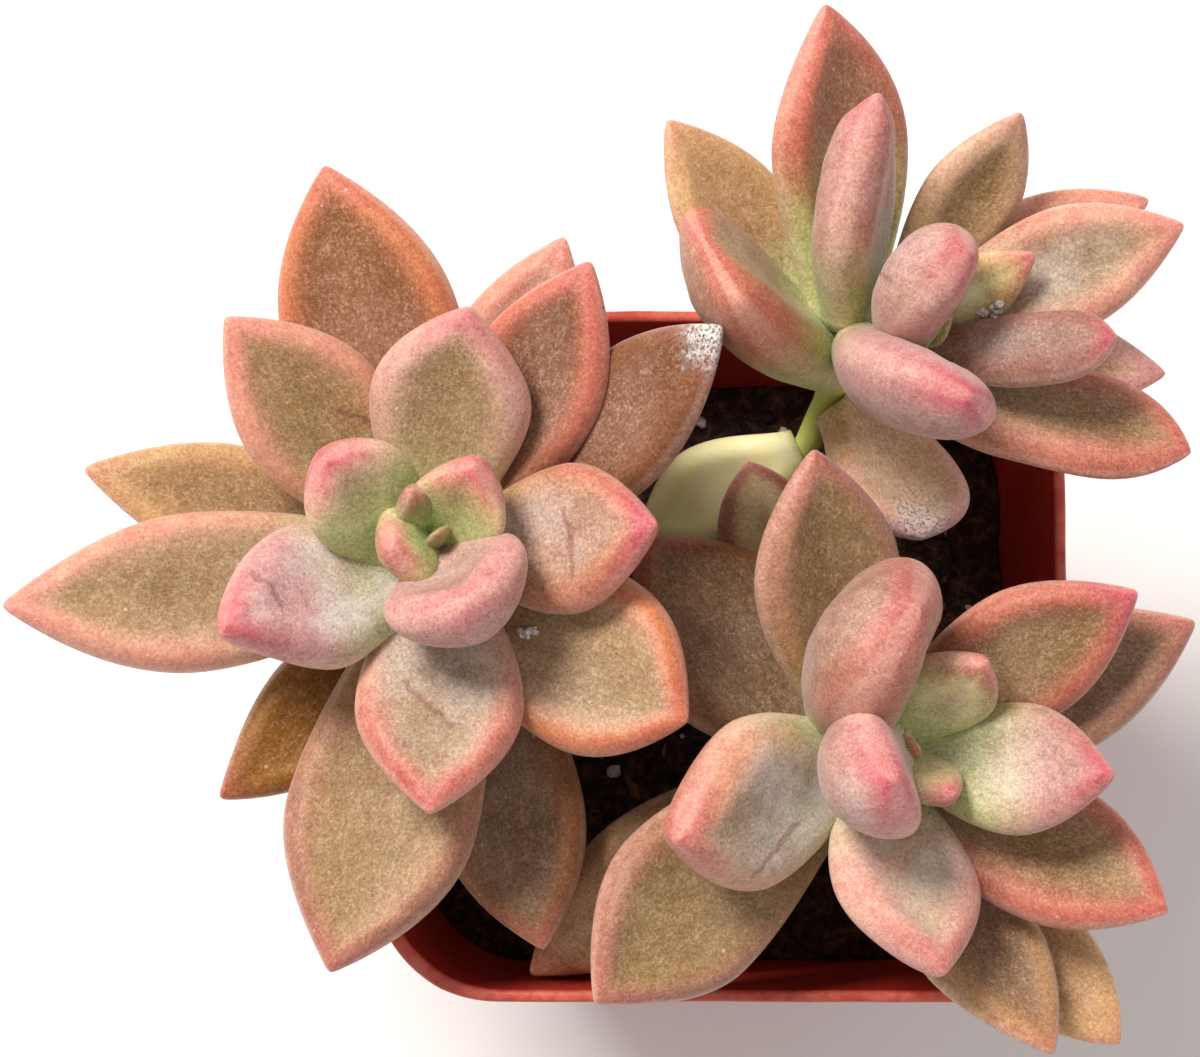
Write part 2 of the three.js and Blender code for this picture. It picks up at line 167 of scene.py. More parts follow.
# White crumbs of the mix. Perlite lies on the mix where it shows between the leaves, by place and width.
# The lodged heaps lie on the leaves, by the middle of each, how far it spreads and how many it holds.
PERLITE = [(-9.0, -27.0, 2.0), (21.6, -27.0, 2.6), (25.6, 3.5, 1.5), (24.6, -0.5, 1.2), (-20.0, -24.5, 0.9)]
LODGED = [(-17.8, 0.0, 0.4, 9), (-17.2, 0.3, 0.5, 6), (22.4, 26.9, 0.8, 10), (23.1, 27.5, 0.5, 6)]

# Bits of bark and coir: their browns, and the share of the bits that has each
BARK_SHADES = ("#2c1c13", "#3c2618", "#523520", "#745232", "#947048")
BARK_ODDS = (0.34, 0.28, 0.2, 0.12, 0.06)
SMALLEST_BARK = 0.7
SHORTEST_COIR_SHARE = 0.42
SMALLEST_PERLITE = 0.6
CRUMB_SIZES = (0.4, 0.9)

# Each group of pieces has its own run of chance
STEMS_SEED = 40
BITS_SEED = 21
PERLITE_SEED = 8
CRUMBS_SEED = 13

# Leaf tissue, by the names a grower would give the colours
TISSUE = {
    "sprout": "#7e8040",
    "lime": "#8fa04c",
    "cream": "#fff8b8",
    "lettuce": "#c4c684",
    "straw": "#c69c6a",
    "gold": "#8e5c14",
    "olive": "#906e38",
    "umber": "#86623e",
    "brown": "#955f36",
    "russet": "#8c5428",
    "mahogany": "#7e4a26",
    "rust": "#a4653a",
    "tan": "#b08456",
    "sand": "#c49c7c",
    "rose": "#c68a86",
    "shell": "#d4a094",
    "coral": "#c46c56",
    "peach": "#d8947c",
    "orange": "#ca784e",
    "clay": "#a87258",
}


def leaf(heading, reach, lift, drop, width, tissues, **more):
    """One leaf. Its tip is given from the crown: heading in degrees from +X, reach along the ground and
    lift above it. Drop is how far down the stem it is rooted, and seat shifts its root. Cup curves it
    upwards, sway to its left, roll turns its left edge up, and curl lifts both edges. Plump is its
    thickness as a share of its width, and nub the radius that its tip is rounded to. The rest is its
    colouring: the tissues of its face, centre and margin, how far green reaches from its root, how red
    its tip is, how much bloom it has, and how thick a crust of salts is on its tip. A scar runs between
    two points, each across and along the leaf from its tip, with a width."""
    face, centre, margin = tissues.split()
    made = {
        "heading": heading, "reach": reach, "lift": lift, "drop": drop, "width": width,
        "cup": CUP, "sway": 0, "roll": 0, "curl": 0, "fullest": FULLEST, "point": POINT, "seat": (0, 0),
        "plump": PLUMP, "nub": NUB, "face": face, "centre": centre, "margin": margin,
        "green": 0, "blush": 0.3, "bloom": 0.12, "scar": None, "crust": 0,
    }
    made.update(more)
    return made


LEFT = {
    "crown": (-25.4, 8.1, 74),
    "lean": (0, 0.05),
    "stem": [
        (-25.4, 8.1, 72.5), (-25.5, 8.3, 66), (-25, 8.4, 58), (-23.8, 8.5, 50), (-22.5, 8.6, 42),
        (-21.5, 8.6, 26),
    ],
    "girth": (2.4, 1.7),
    "leaves": [
        leaf(340, 0.3, 4, 0, 2, "sprout sprout lime", cup=0, plump=0.6, green=0.5, bloom=0.1),
        leaf(119, 3.8, 5.5, 0, 4.8, "sprout sprout sprout", cup=0.5, curl=0.3, plump=0.6, green=0.7,
             blush=0.6, bloom=0.1),
        leaf(204, 4, 5, 0, 7.4, "tan sprout shell", cup=0.4, curl=0.2, plump=0.55, green=0.9, blush=0.7,
             bloom=0.1),
        leaf(56, 6.3, 7, 0, 8.6, "straw olive sand", cup=1.5, curl=2, seat=(0.7, -1.3), plump=0.55,
             green=0.7, blush=0.9),
        leaf(296, 7.4, 10, 1.5, 13.2, "rose clay shell", cup=4.4, curl=1.6, point=3.2, seat=(-1.2, 0.3),
             plump=0.5, nub=0.4, green=0.2, blush=0.5, bloom=0.35),
        leaf(148, 10.9, 7, 2, 10.2, "sand olive shell", sway=-1.4, curl=1, point=3, seat=(-2.6, -2.6),
             plump=0.6, nub=0.35, green=0.8, blush=0.9, bloom=0.2),
        leaf(1, 19, 5.5, 2.9, 13.2, "tan clay coral", cup=2.5, point=1.8, seat=(0, -0.6), plump=0.42,
             green=0.2, blush=1, bloom=0.45, scar=((-3.2, 8.4), (2.8, 9.4), 0.5)),
        leaf(207, 20, 6, 3, 13.2, "rose rose rose", cup=2.5, sway=-3.6, fullest=0.45, seat=(-0.3, -3.8),
             plump=0.5, nub=0.35, green=0.5, blush=1, bloom=0.9, scar=((-2.4, 5.6), (0.9, 6.6), 0.5)),
        leaf(81.5, 19.5, 5, 4.1, 14.2, "sand olive shell", cup=2.5, sway=1.4, plump=0.42, green=0.3,
             blush=0.7),
        leaf(269.5, 24, 3, 4.9, 14.6, "sand olive coral", cup=2.5, sway=0.8, bloom=0.6,
             scar=((-2, 13), (2, 9), 0.5)),
        leaf(61, 27.5, 2, 5.7, 13, "mahogany mahogany coral", cup=2.5, sway=-1.2, roll=-12),
        leaf(323.5, 27, 1, 6.3, 16, "sand olive orange", sway=-1, roll=12, point=2.6),
        leaf(134, 26.5, 2, 6.9, 13.4, "tan olive peach", scar=((-1, 14), (-3, 18), 0.6)),
        leaf(189, 38, 0, 7.7, 14.2, "sand olive peach", sway=1.6, green=0.3),
        leaf(107, 35, -1, 8.9, 16.4, "russet russet orange", sway=0.5, roll=-16, point=2.1, bloom=0.1),
        leaf(256, 38.5, -6, 8.9, 17, "tan olive clay", cup=1.5, sway=1.6, fullest=0.62),
        leaf(35, 30, 7, 9.9, 13.2, "mahogany mahogany mahogany", cup=3, sway=-1.4, roll=-20, point=2.2,
             crust=1),
        leaf(284.5, 36.5, -15, 11.5, 13.8, "umber umber brown", cup=1, roll=14, fullest=0.62, point=2.2),
        leaf(167.5, 32.5, -6, 10.9, 11, "tan olive straw", cup=1.5, green=0.3),
        leaf(68.5, 30, -5, 11.5, 12.5, "shell olive peach", cup=1.5, sway=0.6),
        leaf(228, 29.5, -11, 12.1, 11, "gold gold gold", cup=1, sway=2.5, roll=-16, bloom=0),
    ],
}
RIGHT = {
    "crown": (15.4, -9.6, 70),
    "lean": (0.45, 0),
    "stem": [
        (14.8, -9.6, 68.6), (13.2, -9.6, 65), (11.4, -10.1, 59), (11.1, -10.8, 50), (11.4, -10.8, 40),
        (12, -10.6, 26),
    ],
    "girth": (2.4, 1.7),
    "leaves": [
        leaf(112, 0.5, 2, 0, 2.2, "straw olive straw", cup=0, green=0.3),
        leaf(341, 1, 3, 0, 2.6, "sprout olive straw", cup=0, green=0.3),
        leaf(309, 6, 5, 0, 5.4, "sand sprout lettuce", cup=0.8, plump=0.6, green=0.5, blush=0.9, bloom=0.3),
        leaf(45, 9.2, 7, 0.3, 8.8, "cream sand olive", cup=1.5, plump=0.45, green=0.55, blush=0.8,
             bloom=0.2),
        leaf(240, 4.5, 15, 0.7, 11.6, "shell shell rose", cup=5, curl=1, point=3, seat=(1.2, 0.4),
             plump=0.65, nub=0.45, green=0.2, blush=1, bloom=0.6),
        leaf(350, 17.5, 6, 1.7, 11.6, "clay rose rose", sway=-0.4, plump=0.45, green=0.6, blush=1,
             bloom=0.4),
        leaf(90, 10.8, 13.5, 1.8, 15.5, "clay clay coral", cup=3, sway=1.5, roll=42, point=4,
             seat=(-2, -0.3), plump=0.62, green=0.3, blush=0.5, bloom=0.3),
        leaf(203.5, 22.2, 10, 3.1, 15.4, "sand olive orange", cup=3, roll=-20, point=1.7, plump=0.5,
             green=0.5, blush=0.6, bloom=0.85, scar=((3, 14), (5.5, 8), 0.5)),
        leaf(277.5, 20, 5, 3.7, 13.8, "shell straw peach", sway=-0.6, plump=0.42, green=0.4, blush=0.5,
             bloom=0.7),
        leaf(33, 24, 3, 4.5, 12.2, "mahogany olive coral", green=0.2, blush=1),
        leaf(107.5, 26.5, 5, 5.3, 14.6, "olive olive clay", sway=0.8, green=0.2),
        leaf(327.5, 27, -1, 6.1, 13.4, "clay olive coral", sway=0.6, point=2.3),
        leaf(219.5, 35, 0, 6.9, 15.8, "olive olive clay", sway=-1.4, fullest=0.62),
        leaf(23, 28.5, -3, 7.7, 13, "umber umber clay", cup=1.5, sway=-1.5, bloom=0.2),
        leaf(295.5, 29.5, -2, 10.3, 12, "umber umber tan", cup=1.5, sway=1.8, seat=(1, -2.5)),
        leaf(139.5, 30, -7, 11.3, 17, "umber umber brown", cup=1.5, sway=1.2),
        leaf(307, 32.5, -8.5, 12.5, 10.4, "tan tan straw", cup=0.5, sway=0.8, roll=16, point=3.2,
             green=0.5),
        leaf(115.5, 30, -12, 15, 9.8, "cream sand clay", cup=1, roll=-24, point=4, bloom=0.1),
        leaf(211, 38.5, -18, 14.3, 13.5, "tan straw tan", cup=1, sway=-1.5, bloom=0.2),
    ],
}
BACK = {
    "crown": (18.1, 25.2, 82),
    "lean": (0.62, 0.1),
    "stem": [
        (15.6, 25.6, 76), (12.7, 25.7, 71.5), (10.9, 25.1, 66.5), (10, 23.6, 60), (7.8, 18.7, 54),
        (6.9, 15.9, 45), (7.4, 16.5, 26),
    ],
    "girth": (2.1, 1.2),
    "leaves": [
        leaf(52, 1.2, -1, 0, 3.4, "cream cream lime", cup=0.5, green=0.6),
        leaf(190, 1.4, -1, 0, 3, "sprout sprout lime", cup=0.5, green=0.6),
        leaf(39.6, 10.5, -2, 0, 5.8, "lettuce cream straw", cup=0.5, point=1.6, plump=0.36, green=0.3,
             blush=0.8, bloom=0.2),
        leaf(74, 4.9, 7, 1, 9.3, "rose rose sand", cup=3, roll=10, point=3, seat=(1.4, -1.1), plump=0.75,
             nub=0.4, green=0.3, blush=0.9, bloom=0.5, scar=((1, 9), (3.5, 6.5), 0.35)),
        leaf(354.5, 14.3, 2, 0, 6.2, "mahogany mahogany rose", cup=1.5, sway=-0.8, point=4.5, seat=(0, -1),
             plump=0.75, nub=0.45, blush=0.9, bloom=0.4),
        leaf(24.5, 23.5, -4, 0, 10.8, "tan olive peach", cup=1.5, sway=0.5, green=0.2, bloom=0.5),
        leaf(278, 7.9, 9, 4.5, 11.5, "rose rose rose", cup=2.2, point=4, seat=(-1.2, 0.8), plump=0.62,
             nub=0.5, green=0.2, blush=1, bloom=0.5),
        leaf(335.5, 24, -6, 3, 10.2, "clay olive coral", cup=1.5, sway=1.2, fullest=0.42, point=4.5,
             seat=(-1, -2.5), plump=0.42, green=0.2),
        leaf(355, 21, -12, 2.5, 9, "sand olive shell", cup=1.5, roll=20),
        leaf(35, 24, -11, 1.5, 9, "shell olive peach", cup=1.5, sway=2, roll=-14),
        leaf(69.5, 20.5, -2, 3.5, 9.2, "olive olive sand", cup=1.5, sway=-1.4, seat=(1, 2), green=0.3,
             bloom=0.1),
        leaf(106.5, 20, 4, 5, 12, "rust clay rose", cup=1.5, sway=0.4, roll=30, fullest=0.42, point=1.5,
             seat=(-1.5, 0.8), plump=0.5, green=0.4, blush=0.6, bloom=0.5),
        leaf(108.5, 30.5, -2, 8.1, 14.6, "rust brown coral", cup=1.5, sway=-2.9, seat=(-1.2, 0.6),
             green=0.5, bloom=0.1),
        leaf(159.5, 21.8, -1, 10.5, 15, "rust olive coral", cup=2, sway=1.6, roll=40, fullest=0.76, point=6,
             seat=(0.4, -0.6), plump=0.5, green=0.5, bloom=0.1),
        leaf(139.5, 30.7, -7, 11.2, 11.2, "straw tan straw", cup=1.5, roll=-10, seat=(-0.5, 1.4), green=0.4,
             bloom=0.1),
        leaf(269.5, 15.7, -18, 16.4, 13.8, "straw sand shell", cup=1.5, sway=2.6, fullest=0.66, point=2.8,
             crust=0.6),
        leaf(208, 28.9, -29, 24.2, 9.5, "cream cream cream", cup=1, blush=0, bloom=0.2),
    ],
}

# The leafy stems: the piece's name, the node that it replaces and its rows
STEMS = (
    ("left_rosette", "plant_left", LEFT),
    ("right_rosette", "plant_right", RIGHT),
    ("back_rosette", "plant_back", BACK),
)


# Meshes

# The field of each kind of value and how many numbers it holds
KINDS = {"FLOAT": ("value", 1), "FLOAT_VECTOR": ("vector", 3), "FLOAT_COLOR": ("color", 4)}


def make_mesh(name, points, faces, materials, smooth=True):
    """A mesh object from points in millimetres."""
    mesh = bpy.data.meshes.new(name)
    mesh.from_pydata((np.asarray(points) * MM).tolist(), [], faces)
    mesh.update()
    for material in materials:
        mesh.materials.append(material)
    mesh.polygons.foreach_set("use_smooth", [smooth] * len(mesh.polygons))
    made = bpy.data.objects.new(name, mesh)
    bpy.context.scene.collection.objects.link(made)
    return made


def give_values(mesh, name, kind, values):
    """Stores one value for each point, as a number, a vector or a colour."""
    layer = mesh.attributes.new(name, kind, "POINT")
    layer.data.foreach_set(KINDS[kind][0], np.asarray(values, np.float32).ravel())


def hang(piece, slot, *nodes):
    """Fixes a finished piece to the object's one body."""
    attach(piece, "root")
    if nodes:
        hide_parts(*nodes)


def ring_faces(rings, sides):
    """Quads between neighbouring rings, whose points follow each other ring by ring."""
    step = np.arange(rings - 1)[:, None] * sides
    near = np.arange(sides)[None, :]
    after = (near + 1) % sides
    quads = np.stack([step + near, step + after, step + sides + after, step + sides + near], axis=-1)
    return quads.reshape(-1, 4).tolist()


def tube_faces(rings, sides):
    """The quads between rings, and one face that closes each end."""
    ends = [list(reversed(range(sides))), list(range((rings - 1) * sides, rings * sides))]
    return ring_faces(rings, sides) + ends


def join_in(points, faces, own, own_faces):
    """Adds the points and faces of one leaf, stem or grain to the lists of its piece."""
    start = sum(len(chunk) for chunk in points)
    points.append(own)
    faces += [[start + corner for corner in face] for face in own_faces]


# Leaves

def unit(vectors):
    """The vectors' directions."""
    return vectors / np.linalg.norm(vectors, axis=-1, keepdims=True)


def smooth_step(value, start, end):
    """Eases from 0 at the start to 1 at the end."""
    share = np.clip((value - start) / (end - start), 0, 1)
    return share * share * (3 - 2 * share)


def stem_point_at(rosette, drop):
    """The point a drop down the stem from its growing tip."""
    points = np.array(rosette["stem"], float)
    lengths = np.linalg.norm(np.diff(points, axis=0), axis=1)
    reached = np.concatenate([[0], np.cumsum(lengths)])
    return np.array([np.interp(drop, reached, points[:, k]) for k in range(3)])


def leaf_frame(made, rosette):
    """Root, bend and tip of a leaf's curve, and the direction across it. Its upper face looks towards
    the axis of its rosette."""
    axis = unit(np.array([*rosette["lean"], 1.0]))
    heading = math.radians(made["heading"])
    ahead = np.array([math.cos(heading) * made["reach"], math.sin(heading) * made["reach"], made["lift"]])
    tip = np.array(rosette["crown"]) + ahead
    root = stem_point_at(rosette, made["drop"]) + np.array([*made["seat"], 0])
    out = tip - root
    out = unit(out - axis * out.dot(axis))
    root = root + out * ROOT_SHIFT * made["width"]
    chord = unit(tip - root)
    side = unit(np.cross(axis, chord))
    up = np.cross(chord, side)
    bend = (root + tip) / 2 - up * made["cup"] + side * made["sway"]
    return root, bend, tip, side


def outline_at(along, fullest, point):
    """The share of its full width that a leaf has along its length."""
    rising = NECK + (1 - NECK) * np.sin(np.minimum(along / fullest, 1) * math.pi / 2) ** NECK_CURVE
    falling = 1 - np.clip((along - fullest) / (1 - fullest), 0, 1) ** point
    return np.where(along < fullest, rising, falling)


def fullness_at(along):
    """The share of its full thickness that a leaf has along its length."""
    root_half = ROOT_FULLNESS + (1 - ROOT_FULLNESS) * np.sin(np.minimum(along, 0.5) * math.pi)
    tip_half = np.clip(1 - np.clip(2 * along - 1, 0, 1) ** TIP_HOLD, 0, 1) ** TIP_CURVE
    return np.where(along < 0.5, root_half, tip_half)


def section_heights(along, across, upper, made, half):
    """Height of the skin over the leaf's middle surface: a shallow dish inside a raised border above,
    and below a belly that sharpens to a keel towards the tip. The plumper the leaf, the wider its
    border and the shallower its dish and its keel."""
    fullness = fullness_at(along)
    plumper = made["plump"] / PLUMP
    thick = made["plump"] * made["width"] * fullness
    reach = np.abs(across)
    border = np.minimum(made["border"] * plumper ** BORDER_GROWTH, BORDER_SHARE * half)
    inset = np.minimum((1 - reach) * half / border, 1)
    within = np.minimum(reach * half / (half - border), 1)
    room = np.minimum((half - border) / DISH_ROOM, 1)
    dish = made["dish"] / plumper ** 2 * fullness * np.minimum(1, along / DISH_START)
    dish = dish * room * (1 - within ** 2)
    height = np.minimum(UPPER_SHARE * thick, half)
    keel = KEEL / plumper ** 2 * np.clip((along - KEEL_START) / KEEL_RUN, 0, 1)
    belly = (1 - keel) * np.sqrt(np.clip(1 - across ** 2, 0, 1)) + keel * (1 - reach)
    depth = np.minimum((1 - UPPER_SHARE) * thick, 1.2 * half)
    return np.where(upper, height * np.sqrt(1 - (1 - inset) ** 2) - dish, -depth * belly)


def skin_waves(across, half, from_tip, chance):
    """How far the skin swells and sinks between a leaf's two edges."""
    phase = chance.uniform(0, 6.28, 4)
    waves = np.sin(0.55 * across * half + phase[0]) * np.cos(0.42 * from_tip + phase[1])
    waves += 0.6 * np.sin(1.1 * across * half + phase[2] + 0.8 * from_tip) * np.cos(0.9 * from_tip + phase[3])
    return SWELL * waves * np.minimum(from_tip / 4, 1) * (1 - across ** 2)


def leaf_points(made, rosette, rings, sides, chance):
    """The points of one leaf, root first, and what its skin is coloured by."""
    root, bend, tip, side = leaf_frame(made, rosette)
    along = 1 - (1 - np.arange(rings) / rings) ** RING_SHIFT
    middle = np.outer((1 - along) ** 2, root) + np.outer(2 * along * (1 - along), bend)
    middle = middle + np.outer(along ** 2, tip)
    course = unit(2 * (np.outer(1 - along, bend - root) + np.outer(along, tip - bend)))
    level = unit(side - course * (course @ side)[:, None])
    upward = np.cross(course, level)
    roll = math.radians(made["roll"])
    rolled = level * math.cos(roll) + upward * math.sin(roll)
    upward = upward * math.cos(roll) - level * math.sin(roll)

    turn = 2 * math.pi * np.arange(sides) / sides
    across = np.tile(np.cos(turn), (rings, 1))
    upper = np.tile(np.sin(turn) > -TINY, (rings, 1))
    steps = np.linalg.norm(np.diff(np.concatenate([middle, tip[None]]), axis=0), axis=1)
    from_tip = np.repeat(np.cumsum(steps[::-1])[::-1][:, None], sides, axis=1)
    outline = outline_at(along, made["fullest"], made["point"])[:, None]
    rounding = 2 * made["nub"] * from_tip[:, :1] / (1 + from_tip[:, :1] / NUB_REACH)
    half = np.sqrt((made["width"] / 2 * outline) ** 2 + rounding)
    over = section_heights(along[:, None], across, upper, made, half)
    over = over + made["curl"] * (across * half / (made["width"] / 2)) ** 2
    over = over + skin_waves(across, half, from_tip, chance)

    points = middle[:, None, :] + rolled[:, None, :] * (across * half)[..., None]
    points = points + upward[:, None, :] * over[..., None]
    rim = (1 - np.abs(across)) * half
    to_apex = np.linalg.norm(points - tip, axis=-1) * TYPICAL_WIDTH / made["width"]
    spread = np.stack(np.broadcast_arrays(along[:, None], rim, to_apex), axis=-1)
    place = np.stack([across * half, from_tip, np.zeros_like(across)], axis=-1)
    below = np.where(upper, 0.0, 1.0)
    length = from_tip[0, 0]
    return {
        "points": np.vstack([root, points.reshape(-1, 3), tip]),
        "spread": np.vstack([(0, made["width"], length), spread.reshape(-1, 3), (1, 0, 0)]),
        "place": np.vstack([(0, length, 0), place.reshape(-1, 3), (0, 0, 0)]),
        "below": np.vstack([1, below.reshape(-1, 1), 0]),
    }


def leaf_faces(rings, sides):
    """The quads between the rings of a leaf and the fans that close its two ends."""
    quads = [[1 + corner for corner in quad] for quad in ring_faces(rings, sides)]
    last = 1 + (rings - 1) * sides
    apex = last + sides
    for side in range(sides):
        after = (side + 1) % sides
        quads.append([0, 1 + after, 1 + side])
        quads.append([apex, last + side, last + after])
    return quads


def stem_points(rosette, steps, sides):
    """A tapered stem along its curve, with the scars where older leaves have dropped."""
    points = [Vector(point) for point in rosette["stem"]]
    curve = smooth_path(points, steps)
    top, foot = rosette["girth"]
    rows = []
    for step in range(steps + 1):
        down = step / steps
        rise = (curve[max(step - 1, 0)] - curve[min(step + 1, steps)]).normalized()
        across = (Vector((0, 1, 0)) - rise * rise.y).normalized()
        beside = across.cross(rise)
        taper = foot + (top - foot) * max(0, 1 - down / SWOLLEN_SHARE) ** 1.5
        radius = taper * min(1, TIP_SHARE + 4 * down)
        for side in range(sides):
            turn = 2 * math.pi * side / sides
            ripple = 1 + 0.05 * math.sin(3 * turn + 1.9 * step) * math.sin(1.3 * step)
            offset = across * math.cos(turn) + beside * math.sin(turn)
            rows.append(curve[step] + offset * radius * ripple)
    return np.array(rows)


def smooth_path(points, steps):
    """Points evenly spread on a smooth curve through the given ones."""
    stops = [0.0]
    for first, second in zip(points, points[1:]):
        stops.append(stops[-1] + (second - first).length)
    slopes = []
    for k in range(len(points)):
        before, after = max(k - 1, 0), min(k + 1, len(points) - 1)
        slopes.append((points[after] - points[before]) / (stops[after] - stops[before]))
    path = []
    for step in range(steps + 1):
        at = stops[-1] * step / steps
        k = min(max(sum(stop <= at for stop in stops) - 1, 0), len(points) - 2)
        gap = stops[k + 1] - stops[k]
        t = (at - stops[k]) / gap
        path.append(
            points[k] * (2 * t ** 3 - 3 * t ** 2 + 1) + slopes[k] * (gap * (t ** 3 - 2 * t ** 2 + t))
            + points[k + 1] * (3 * t ** 2 - 2 * t ** 3) + slopes[k + 1] * (gap * (t ** 3 - t ** 2))
        )
    return path


# What each leaf and stem tells its material, by the kind of value
VALUES = {
    "spread": "FLOAT_VECTOR", "place": "FLOAT_VECTOR", "below": "FLOAT",
    "face_tint": "FLOAT_COLOR", "centre_tint": "FLOAT_COLOR", "margin_tint": "FLOAT_COLOR",
    "health": "FLOAT_VECTOR", "scar_from": "FLOAT_VECTOR", "scar_to": "FLOAT_VECTOR",
    "flaws": "FLOAT_VECTOR",
}


def leaf_tints(made, patch):
    """What all points of one leaf tell its material: its tissues, health and flaws. The patch number
    keeps the leaf's scar apart from the others'."""
    scar_from, scar_to, width = made["scar"] or NO_SCAR
    return {
        "face_tint": linear(TISSUE[made["face"]]),
        "centre_tint": linear(TISSUE[made["centre"]]),
        "margin_tint": linear(TISSUE[made["margin"]]),
        "health": (made["green"], made["blush"], made["bloom"]),
        "scar_from": (*scar_from, patch),
        "scar_to": (*scar_to, patch),
        "flaws": (width, made["crust"], (PLUMP / made["plump"]) ** BORDER_GROWTH),
    }


def plant_piece(name, node, rosette, sizes, seed):
    """One leafy stem as one mesh: all its leaves and the stem that carries them."""
    rings, sides = sizes.leaf_rings, sizes.leaf_sides
    chance = np.random.default_rng(seed)
    points, faces = [], []
    values = {key: [] for key in VALUES}
    for row in rosette["leaves"]:
        made = {**row, "border": sizes.leaf_border / MM, "dish": sizes.leaf_dish / MM}
        own = leaf_points(made, rosette, rings, sides, chance)
        join_in(points, faces, own["points"], leaf_faces(rings, sides))
        patch = chance.uniform(0, PATCH_RANGE)
        own["place"][:, 2] = patch
        for key, value in leaf_tints(made, patch).items():
            own[key] = np.tile(value, (len(own["points"]), 1))
        for key in VALUES:
            values[key].append(own[key])
    leaf_face_count = len(faces)

    stalk = stem_points(rosette, STEM_STEPS, STEM_SIDES)
    join_in(points, faces, stalk, tube_faces(STEM_STEPS + 1, STEM_SIDES))
    for key, kind in VALUES.items():
        values[key].append(np.zeros((len(stalk), KINDS[kind][1])))

    colours = bpy.context.scene.ghost_plant_colours
    materials = [leaf_material(colours), stem_material(colours)]
    piece = make_mesh(name, np.concatenate(points), faces, materials)
    slots = np.zeros(len(faces), int)
    slots[leaf_face_count:] = 1
    piece.data.polygons.foreach_set("material_index", slots)
    for key, kind in VALUES.items():
        give_values(piece.data, key, kind, np.concatenate(values[key]))
    hang(piece, "plant", node)
    return piece


# Materials

# Settings of a ramp that eases in and out
SMOOTH = {"interpolation_type": "SMOOTHSTEP"}


def linear(hex_colour):
    """An sRGB hex colour as linear red, green, blue and alpha."""
    parts = [int(hex_colour[k:k + 2], 16) / 255 for k in (1, 3, 5)]
    return (*[p / 12.92 if p <= 0.04045 else ((p + 0.055) / 1.055) ** 2.4 for p in parts], 1.0)


def add_node(tree, kind, inputs=(), **settings):
    """Adds a shader node of a kind, sets its fields, and sets or links its inputs, given in order or by
    name. A node given for an input stands for its first output."""
    made = tree.nodes.new("ShaderNode" + kind)
    for field, value in settings.items():
        setattr(made, field, value)
    for socket, value in inputs.items() if isinstance(inputs, dict) else enumerate(inputs):
        source = value.outputs[0] if isinstance(value, bpy.types.Node) else value
        if isinstance(source, bpy.types.NodeSocket):
            tree.links.new(source, made.inputs[socket])
        else:
            made.inputs[socket].default_value = source
    return made


def start_material(name, constants):
    """A material with its main shader's constant sockets set, its node tree and that shader."""
    material = bpy.data.materials.new(name)
    material.use_nodes = True
    tree = material.node_tree
    tree.nodes.clear()
    shader = add_node(tree, "BsdfPrincipled", constants)
    add_node(tree, "OutputMaterial", {"Surface": shader})
    return material, tree, shader


def finish_material(tree, shader, colour, roughness, height, depth):
    """Joins the colour, roughness and relief patterns to the shader; depth is the relief's in metres."""
    bump = add_node(tree, "Bump", {"Height": height, "Distance": depth, "Strength": 1.0})
    tree.links.new(colour.outputs[0], shader.inputs["Base Color"])
    tree.links.new(roughness.outputs[0], shader.inputs["Roughness"])
    tree.links.new(bump.outputs[0], shader.inputs["Normal"])


def leaf_patterns(tree):
    """Patches 6 mm wide, blotches 1.3 mm wide and powder grains 0.3 mm wide, which is coarser than the
    real ones. White specks are 2.4 mm apart, and streaks 0.3 mm wide are where wet powder has run."""
    spot = add_node(tree, "TexCoord").outputs["Object"]
    patches = add_node(tree, "TexNoise", {"Vector": spot, "Scale": 0.17 / MM, "Detail": 2, "Roughness": 0.5})
    blotches = add_node(tree, "TexNoise", {"Vector": spot, "Scale": 0.75 / MM, "Detail": 4, "Roughness": 0.6})
    grains = add_node(tree, "TexNoise", {"Vector": spot, "Scale": 3.6 / MM, "Detail": 4, "Roughness": 0.8,
                                         "Distortion": 0.6})
    specks = add_node(tree, "TexVoronoi", {"Vector": spot, "Scale": 0.42 / MM, "Randomness": 1.0})
    place = add_node(tree, "Attribute", attribute_name="place").outputs["Vector"]
    drawn = add_node(tree, "VectorMath", (place, (1.0, 0.28, 1.0)), operation="MULTIPLY")
    streaks = add_node(tree, "TexNoise", {"Vector": drawn, "Scale": 3.2, "Detail": 3, "Roughness": 0.7})
    return patches, blotches, grains, specks, streaks


def tissue_masks(tree, patches, blotches, along, rim, below, bordered):
    """High in the middle of a leaf's upper face, on its raised border, which is about 2 mm wide, and on
    a thin painted highlight line at its very edge."""
    deep = add_node(tree, "Math", (patches, 5.0, rim), operation="MULTIPLY_ADD")
    centre = add_node(tree, "MapRange", (deep, 3.2, 7.8, 0.0, 0.85), **SMOOTH)
    above = add_node(tree, "Math", (1.0, below), operation="SUBTRACT")
    centre = add_node(tree, "Math", (centre, above), operation="MULTIPLY")
    ragged = rim
    for pattern, share in ((blotches, 0.8), (patches, 1.6)):
        ragged = add_node(tree, "Math", (pattern, share, ragged), operation="MULTIPLY_ADD")
    border = add_node(tree, "MapRange", (ragged, 5.0, 1.9), **SMOOTH)
    grown = add_node(tree, "MapRange", (along, 0.15, 0.7), **SMOOTH)
    for mask in (grown, bordered):
        border = add_node(tree, "Math", (border, mask), operation="MULTIPLY")
    # Painted highlight: a thin pale line along the last half millimetre of the leaf's edge
    edge = add_node(tree, "MapRange", (rim, 0.5, 0.05, 0.0, 0.25), **SMOOTH)
    return centre, border, edge


